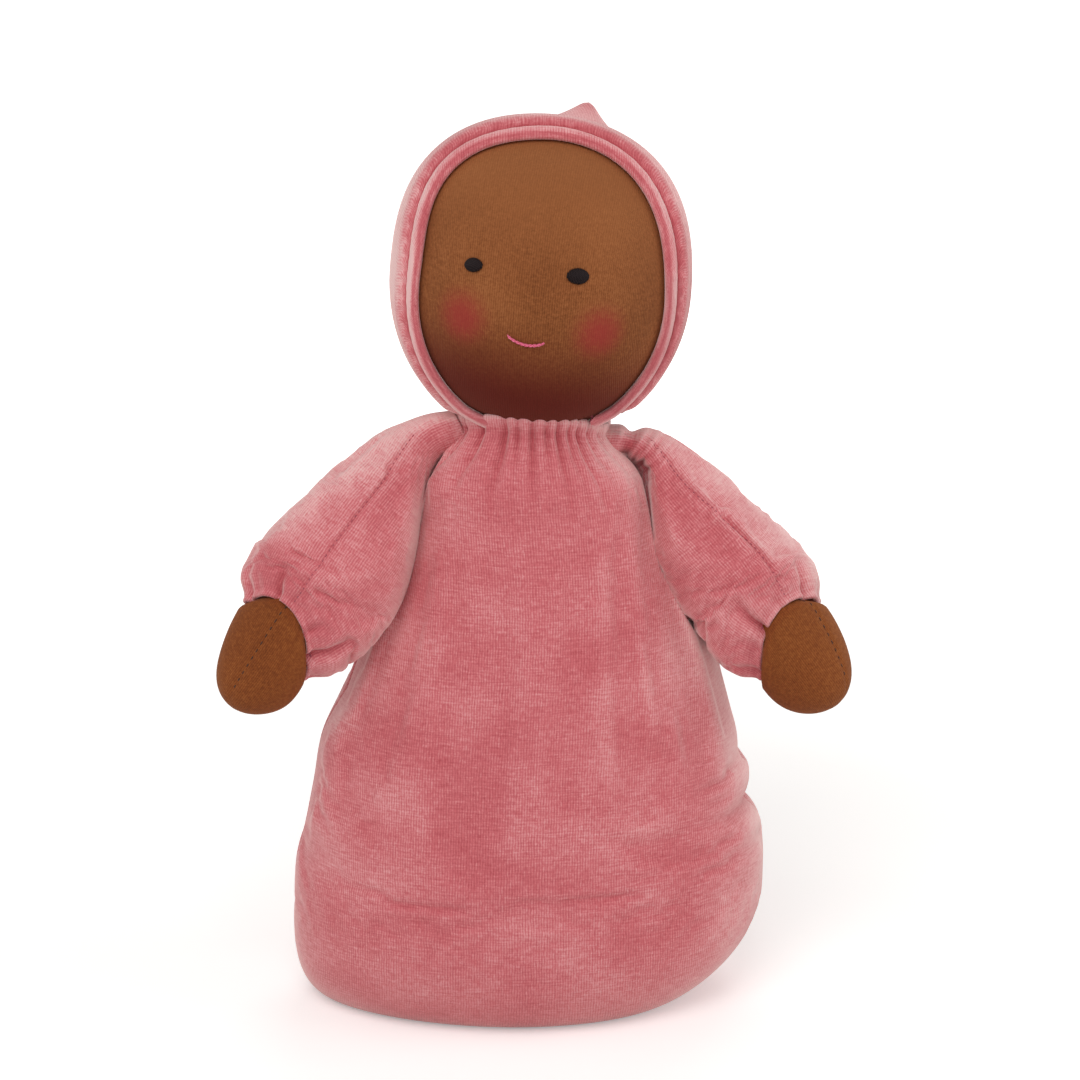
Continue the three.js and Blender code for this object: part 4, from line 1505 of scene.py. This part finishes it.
    def build_hem(self, velour: Material) -> Cloth:
        """Makes the hood's turned edge: tucked against the face, rolled, and drawn down at the
        topstitching.

        Args:
            velour: its material.

        Returns:
            The hem as cloth.
        """
        knots = range(len(self.hem_radii))
        steps = np.linspace(0, knots[-1], self.hem_rows)
        distance, around = np.meshgrid(smooth_curve(knots, self.hem_distances, steps),
                                       turns(self.columns), indexing="ij")
        radius = smooth_curve(knots, self.hem_radii, steps)[:, None]
        radius = radius + 0.2 * np.cos(58 * around + 3 * np.sin(4 * around)) * hump(distance, 5.6, 1.2)
        wobble = 0.35 * np.sin(5 * around + 0.7) + 0.25 * np.sin(9 * around)
        radius = radius + 0.3 * wobble * hump(distance, 3, 2.5)
        polar = self.opening_edge(around) + distance / self.hood_radius
        # The velour is painted darker in the stitched groove and along the face, painted shade, and paler
        # on the roll between, a painted highlight.
        painted_light_shift = 0.7 - 2.0 * hump(distance, 6.1, 1.0) - 0.9 * hump(distance, -0.2, 0.8)
        hem = Cloth(self.collared(self.on_hood(polar, around, radius)), middle=self.columns // 4, painted_light_shift=painted_light_shift)
        made = hem.mesh("hood_hem_velour", velour)
        self.cut_collar(made)
        declare(made, "head", ("hood_hem",))
        return hem

    def build_shell(self, velour: Material) -> None:
        """Makes the hood from the topstitching to the back of the head, with its point.

        Args:
            velour: its material.
        """
        share, around = np.meshgrid(np.linspace(0, 1, self.shell_rows), turns(self.columns), indexing="ij")
        edge = self.opening_edge(around)
        first = edge + (self.hem_width - 0.2) / self.hood_radius
        polar = first + (math.pi - 0.004 - first) * share
        behind = (polar - edge) * self.hood_radius
        radius = smooth_curve(self.shell_distances, self.shell_radii, behind)
        radius = radius + 0.22 * np.cos(58 * around + 3 * np.sin(4 * around)) * hump(behind, 7.6, 1.2)
        radius = radius + 0.35 * np.sin(4 * around + 1.3) * np.sin(polar * 3.1) * rise(behind, 12, 30)
        # The seam that closes the hood runs from its point down the back of the head.
        plane = unit(np.cross(self.tip, self.aim @ (0.0, 1.0, 0.0)))
        aside = self.hood_radius * (self.rays(polar, around) @ plane)
        radius = radius - 0.55 * hump(aside, 0, 0.9) * rise(polar, 1.5, 1.7)
        shell = self.on_hood(polar, around, self.pointed(polar, around, radius))
        # Towards the collar hole the shell draws up to the hem, so that both end in one edge.
        away = np.hypot(shell[..., 0], shell[..., 1])
        near = rise(away, self.collar + 7, self.collar) * rise(behind, 18, 9)
        shell[..., 2] += 2.2 * near * (shell[..., 2] < self.neck_height + 15)
        # A little painted sheen over the whole hood, and painted shade in the groove behind the
        # topstitching.
        painted_light_shift = 0.2 - 1.5 * hump(behind, 6.2, 0.9)
        made = Cloth(self.collared(shell), middle=self.columns // 4, painted_light_shift=painted_light_shift).mesh("hood_velour", velour)
        self.cut_collar(made)
        thick = made.modifiers.new("velour_thickness", "SOLIDIFY")
        thick.thickness = self.shell_thickness * METRES
        thick.offset = -1.0
        declare(made, "head", ("hood_shell",))

    def build_stitching(self, hem: Cloth, thread: Material) -> None:
        """Makes the hem's topstitching and the seam down the hood's back.

        Args:
            hem: the hem.
            thread: the stitching's material.
        """
        runs = np.arange(0, self.columns, 0.5)
        place, normal = hem.at(np.full_like(runs, self.stitched_row), runs)
        keep = place[:, 2] > self.neck_height + 6.5
        first = int(np.argmax(~keep & np.roll(keep, -1))) + 1
        order = np.roll(np.arange(len(runs)), -first)
        order = order[keep[order]]
        back = self.aim @ (0.0, 1.0, 0.0)
        down = unit(back - (back @ self.tip) * self.tip)
        sweep = np.radians(np.arange(24.0, 150.0, 1.0))[:, None]
        ray = np.cos(sweep) * self.tip + np.sin(sweep) * down
        own = ray @ self.aim
        polar, around = np.arccos(np.clip(-own[:, 1], -1, 1)), np.arctan2(own[:, 2], own[:, 0])
        line = self.on_hood(polar, around, np.full(len(polar), self.hood_radius - 0.45))
        clear = np.hypot(line[:, 0], line[:, 1]) > self.collar + 2
        for name, stitches, path, out in (
                ("hood_topstitching", self.topstitches, place[order], normal[order]),
                ("hood_back_seam", self.back_stitches, line[clear], (ray @ self.stand.T)[clear])):
            declare(stitches.sew(name, path, out, thread), "head")

    def collared(self, places: Array) -> Array:
        """Fabric of the hood drawn out to the round collar hole below the head.

        Args:
            places: in the doll's frame.

        Returns:
            The places, with none nearer to the neck than the hole.
        """
        away = np.hypot(places[..., 0], places[..., 1])
        low = (places[..., 2] < self.neck_height + 30) & (away < self.collar)
        grow = np.where(low, self.collar / np.maximum(away, 1e-6), 1.0)
        lift = np.where(low, 0.35 * (self.collar - away), 0.0)
        return np.stack([places[..., 0] * grow, places[..., 1] * grow, places[..., 2] + lift], axis=-1)

    def cut_collar(self, piece: Object) -> None:
        """Removes the slivers of fabric that lie on the collar hole's wall.

        Args:
            piece: the hood or its hem.
        """
        radius, below = self.collar * 1.0005 * METRES, (self.neck_height + 30) * METRES
        work = bmesh.new()
        work.from_mesh(piece.data)
        gone = [face for face in work.faces
                if all(vert.co.z < below and vert.co.xy.length < radius for vert in face.verts)]
        bmesh.ops.delete(work, geom=gone, context="FACES")
        work.to_mesh(piece.data)
        work.free()


@dataclass
class Neck:
    """The bound tail of the head inside the sack: it shows only as the head turns. Lengths are
    in mm."""

    radius: float = 16.9
    low: float = 158.5
    tie_height: float = 203.5
    tie_radius: float = 18.2
    tie_turns: int = 5
    tie_thread: float = 0.42
    fill: float = 0.95

    def build(self, wool: Material, thread: Material) -> None:
        """Makes the tail and its winding.

        Args:
            wool: the tail's material.
            thread: the winding's material.
        """
        share, turn = np.meshgrid(np.linspace(0, 1, 90), turns(120), indexing="ij")
        radius = self.radius + 0.45 * np.cos(14 * turn) * rise(share, 1.0, 0.4)
        for off in (1 - np.minimum(share / 0.16, 1), np.maximum(share - 0.8, 0) / 0.2):
            radius = radius * np.sqrt(np.clip(1 - off ** 2, 0.0004, 1))
        height = self.low + (self.tie_height + 14 - self.low) * share
        tail = np.stack([radius * np.sin(turn), -radius * np.cos(turn), height], axis=-1)
        declare(Cloth(tail).mesh("neck_wool_tail", wool), "neck", ("neck_stub",))
        share = np.linspace(0, 1, 400)
        turn = self.tie_turns * 2 * math.pi * share
        wound = np.stack([self.tie_radius * np.cos(turn), self.tie_radius * np.sin(turn),
                          self.tie_height - 3.8 + 2.6 * share], axis=1)
        winding = threads("neck_linen_winding", [wound], self.tie_thread, 8, thread)
        declare(winding, "neck_tie", ("neck_tie_thread",))


# The studio


def seen_itself(node: Callable[..., Socket]) -> Socket:
    """Tells the stage as it is looked at from the stage as it lights things.

    Args:
        node: adds a node.

    Returns:
        1 for the camera, reflections and what is seen through things, and 0 otherwise.
    """
    path = node("LightPath", {}).node.outputs
    seen = node("Math", {0: path["Is Camera Ray"], 1: path["Is Glossy Ray"]}, operation="MAXIMUM")
    return node("Math", {0: seen, 1: path["Is Transmission Ray"]}, operation="MAXIMUM")


@dataclass(frozen=True)
class Lamp:
    """A square lamp that looks at the doll. Lengths are in metres, and its power is in watts."""

    name: str
    place: tuple[float, float, float]
    size: float
    power: float


@dataclass
class Studio:
    """A plain pale floor, soft lamps and the camera. Lengths are in metres here."""

    aim: tuple[float, float, float] = (-0.0008, -0.010, 0.166)
    azimuth: float = -4.0
    elevation: float = 16.0
    distance: float = 0.9
    lens: float = 90.0
    lamp_aim: tuple[float, float, float] = (0.0, 0.0, 0.14)
    lamps: tuple[Lamp, ...] = (
        Lamp("key_lamp", (-0.35, -0.95, 1.25), 0.9, 10.0), Lamp("low_lamp", (0.1, -1.3, 0.3), 1.0, 1.8),
        Lamp("right_lamp", (1.3, -0.3, 0.7), 0.9, 5.0), Lamp("left_lamp", (-1.25, 0.0, 0.75), 0.8, 1.9),
        Lamp("back_lamp", (0.3, 1.0, 1.1), 0.9, 4.0))
    floor_half: float = 6.0

    def build(self) -> None:
        """Sets up the world, the floor, the lamps and the camera."""
        scene = bpy.context.scene
        scene.view_settings.view_transform = "Standard"
        self.world(scene)
        self.floor(scene)
        for lamp in self.lamps:
            light = bpy.data.lights.new(lamp.name, "AREA")
            light.shape, light.size, light.energy = "SQUARE", lamp.size, lamp.power
            place = Vector(lamp.place)
            self.hang(scene, lamp.name, light, place, Vector(self.lamp_aim) - place)
        camera = bpy.data.cameras.new("photo_camera")
        camera.lens, camera.sensor_width = self.lens, 36.0
        turn, up = math.radians(self.azimuth), math.radians(self.elevation)
        back = Vector((math.sin(turn) * math.cos(up), -math.cos(turn) * math.cos(up), math.sin(up)))
        place = Vector(self.aim) + back * self.distance
        scene.camera = self.hang(scene, "photo_camera", camera, place, -back)

    def hang(self, scene: bpy.types.Scene, name: str, data: bpy.types.ID, place: Vector, look: Vector
             ) -> Object:
        """Puts a lamp or the camera in the scene.

        Args:
            scene: the scene.
            name: the object's name.
            data: the lamp or camera.
            place: where it hangs.
            look: the direction in which it looks.

        Returns:
            The object.
        """
        made = bpy.data.objects.new(name, data)
        made.location = place
        made.rotation_euler = look.to_track_quat("-Z", "Y").to_euler()
        scene.collection.objects.link(made)
        return made

    def world(self, scene: bpy.types.Scene) -> None:
        """A white surround for the camera and for reflections, and a softer light from it.

        Args:
            scene: the scene.
        """
        scene.world = bpy.data.worlds.new("white_surround")
        scene.world.use_nodes = True
        scene.world.node_tree.nodes.clear()
        node = partial(add_node, scene.world.node_tree)
        light = node("Background", {"Color": linear("f4f2f0"), "Strength": 0.42})
        white = node("Background", {"Color": (1, 1, 1, 1), "Strength": 1.0})
        node("OutputWorld", {"Surface": node("MixShader", {0: seen_itself(node), 1: light, 2: white})})

    def floor(self, scene: bpy.types.Scene) -> None:
        """The floor: white where lit, and it keeps the doll's shadow.

        Args:
            scene: the scene.
        """
        material, node = new_material("matt_white_paper")
        tooth = node("TexNoise", {"Scale": 900.0, "Detail": 3.0})
        bump = node("Bump", {"Height": tooth, "Strength": 0.1, "Distance": 0.0001})
        matt = node("BsdfDiffuse", {"Color": linear("f2f1ef"), "Normal": bump})
        away = node("VectorMath", {0: node("TexCoord", {}, "Object")}, "Value", operation="LENGTH")
        glow = node("MapRange", {
            "Value": away, "From Min": 0.25, "From Max": 1.1, "To Min": 0.3, "To Max": 1.0})
        bright = node("Emission", {"Color": (1, 1, 1, 1), "Strength": glow})
        both = node("AddShader", {0: matt, 1: bright})
        node("OutputMaterial", {"Surface": node("MixShader", {0: seen_itself(node), 1: matt, 2: both})})
        data = bpy.data.meshes.new("paper_floor")
        half = self.floor_half
        corners = [(-half, -half, 0), (half, -half, 0), (half, half, 0), (-half, half, 0)]
        data.from_pydata(corners, [], [(0, 1, 2, 3)])
        data.materials.append(material)
        paper = bpy.data.objects.new("paper_floor", data)
        scene.collection.objects.link(paper)


# The doll's own measures, from the photograph


def pleats(*sizes: tuple[float, float, float, float]) -> tuple[Pleat, ...]:
    """Pleats by their turn in degrees, and their depth, reach and width in mm."""
    return tuple(Pleat(*size) for size in sizes)


NECKLINE_PLEATS = pleats(
    (-104, 2.4, 31, 1.5), (-86, 2.2, 24, 1.3), (-67, 3.0, 34, 1.3), (-46, 2.8, 31, 1.2),
    (-25, 3.2, 36, 1.3), (-15, 2.2, 20, 0.9), (-4, 3.0, 29, 1.1), (7, 2.6, 23, 1.0),
    (16, 3.0, 34, 1.1), (25.5, 2.6, 30, 1.1), (34, 2.8, 36, 1.1), (45, 2.4, 26, 1.2),
    (60, 2.4, 29, 1.4), (78, 2.4, 26, 1.5), (97, 2.2, 26, 1.5), (114, 2.0, 22, 1.4),
    (131, 2.6, 31, 1.5), (150, 2.0, 24, 1.4), (166, 2.5, 30, 1.5), (184, 1.9, 22, 1.4),
    (203, 2.6, 31, 1.5), (221, 2.0, 24, 1.4), (240, 2.4, 29, 1.5))
RIGHT_CUFF = pleats(
    (18, 1.6, 14, 1.6), (62, 2.4, 17, 1.2), (92, 1.1, 11, 1.1), (118, 1.0, 9, 1.0), (143, 3.6, 19, 1.3),
    (178, 1.8, 15, 1.5), (214, 2.6, 19, 1.5), (252, 2.2, 16, 1.5), (290, 2.6, 18, 1.5), (330, 2.0, 15, 1.5))
LEFT_CUFF = pleats(
    (6, 1.6, 14, 1.4), (39, 2.7, 18, 1.4), (78, 1.0, 10, 1.1), (112, 3.6, 24, 1.3), (136, 1.2, 11, 1.2),
    (163, 1.2, 12, 1.5), (200, 1.2, 12, 1.5), (240, 2.2, 16, 1.5), (282, 2.2, 16, 1.5), (322, 2.4, 18, 1.5))
SAG_FOLDS = (
    SagFold(88, 1.0, 3.6, 88, 30, 3), SagFold(70, 2.6, 3.6, 88, 36, -1), SagFold(27, 1.6, 3.6, 94, 11, 1),
    SagFold(112, 0.8, 5.0, -80, 24, -3), SagFold(58, 0.6, 6.0, -84, 28, -4))
CHEEKS = ((-26.0, -14.0), (32.5, -15.0))


def make_arms() -> tuple[Arm, Arm]:
    """Returns the doll's right arm, smooth at the shoulder, and its left arm, pinched there."""
    return Arm(Side.RIGHT, RIGHT_CUFF), Arm(
        Side.LEFT, LEFT_CUFF, lie=(-5.3, 0.0, 0.0), root=-12.5, root_drop=0.14, pinch=1.0,
        outer=(6.0, 6.4, 7.6, 11.9, 15.4, 18.6, 21.2, 22.3, 21.8, 20.2, 16.8),
        inner=(7.0, 6.4, 5.4, 6.4, 11, 18, 20.9, 22.6, 23.2, 20.8, 16.6), cuff_drop=1.5,
        seam_offset=((0, 3.7), (21, 3.6), (49, 8.0), (70, 7.3), (85, 6.4)),
        hand_radius=16.9, hand_tip=109.8, hand_aside=-1.3, hand_seam=(38.0, 52.0))


def main() -> None:
    """Builds the doll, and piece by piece."""
    logging.basicConfig(level=logging.INFO, format="%(name)s: %(message)s")
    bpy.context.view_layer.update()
    Studio().build()
    LOG.info("studio and camera stand")

    head = Head()
    velour = CottonVelour().make()
    seam = SpunThread().make()
    face = CottonJersey("cotton_jersey_face", blushes=tuple(
        Blush(tuple(head.on_face(*np.radians(cheek), 0.0).tolist())) for cheek in CHEEKS)).make()
    skin = CottonJersey("cotton_jersey_hands", "683315", "7f431d", "93562a").make()
    hand_thread = SpunThread("sewing_thread_brown_cotton", "2c1308", "4a2611").make()
    eyes = SpunThread("satin_stitched_dark_silk", "0f0a09", "231719", 0.4, 0.6, 0.12, 0.0).make()
    mouth = SpunThread("twisted_pink_silk", "c74468", "e2708f", 0.4, 0.5, 0.4, 0.05).make()
    wool = SpunThread("carded_sheep_wool", "d8cdb8", "efe7d8", 2.2, 1.0, 0.1).make()
    linen = SpunThread("linen_tying_thread", "bfb08f", "e0d6bf", 0.4, 0.9, 0.2).make()

    arms = make_arms()
    Sack(NECKLINE_PLEATS, SAG_FOLDS).build(velour, seam, arms)
    LOG.info("sack sewn and stuffed")
    for arm in arms:
        arm.build_sleeve(velour, seam)
        arm.build_hand(skin, hand_thread)
        LOG.info("%s arm sewn and stuffed", arm.side.word)
    Neck().build(wool, linen)
    head.build_jersey(face)
    head.build_face(eyes, mouth)
    hem = head.build_hem(velour)
    head.build_shell(velour)
    head.build_stitching(hem, seam)
    LOG.info("head, face and hood made")


if __name__ == "__main__":
    main()
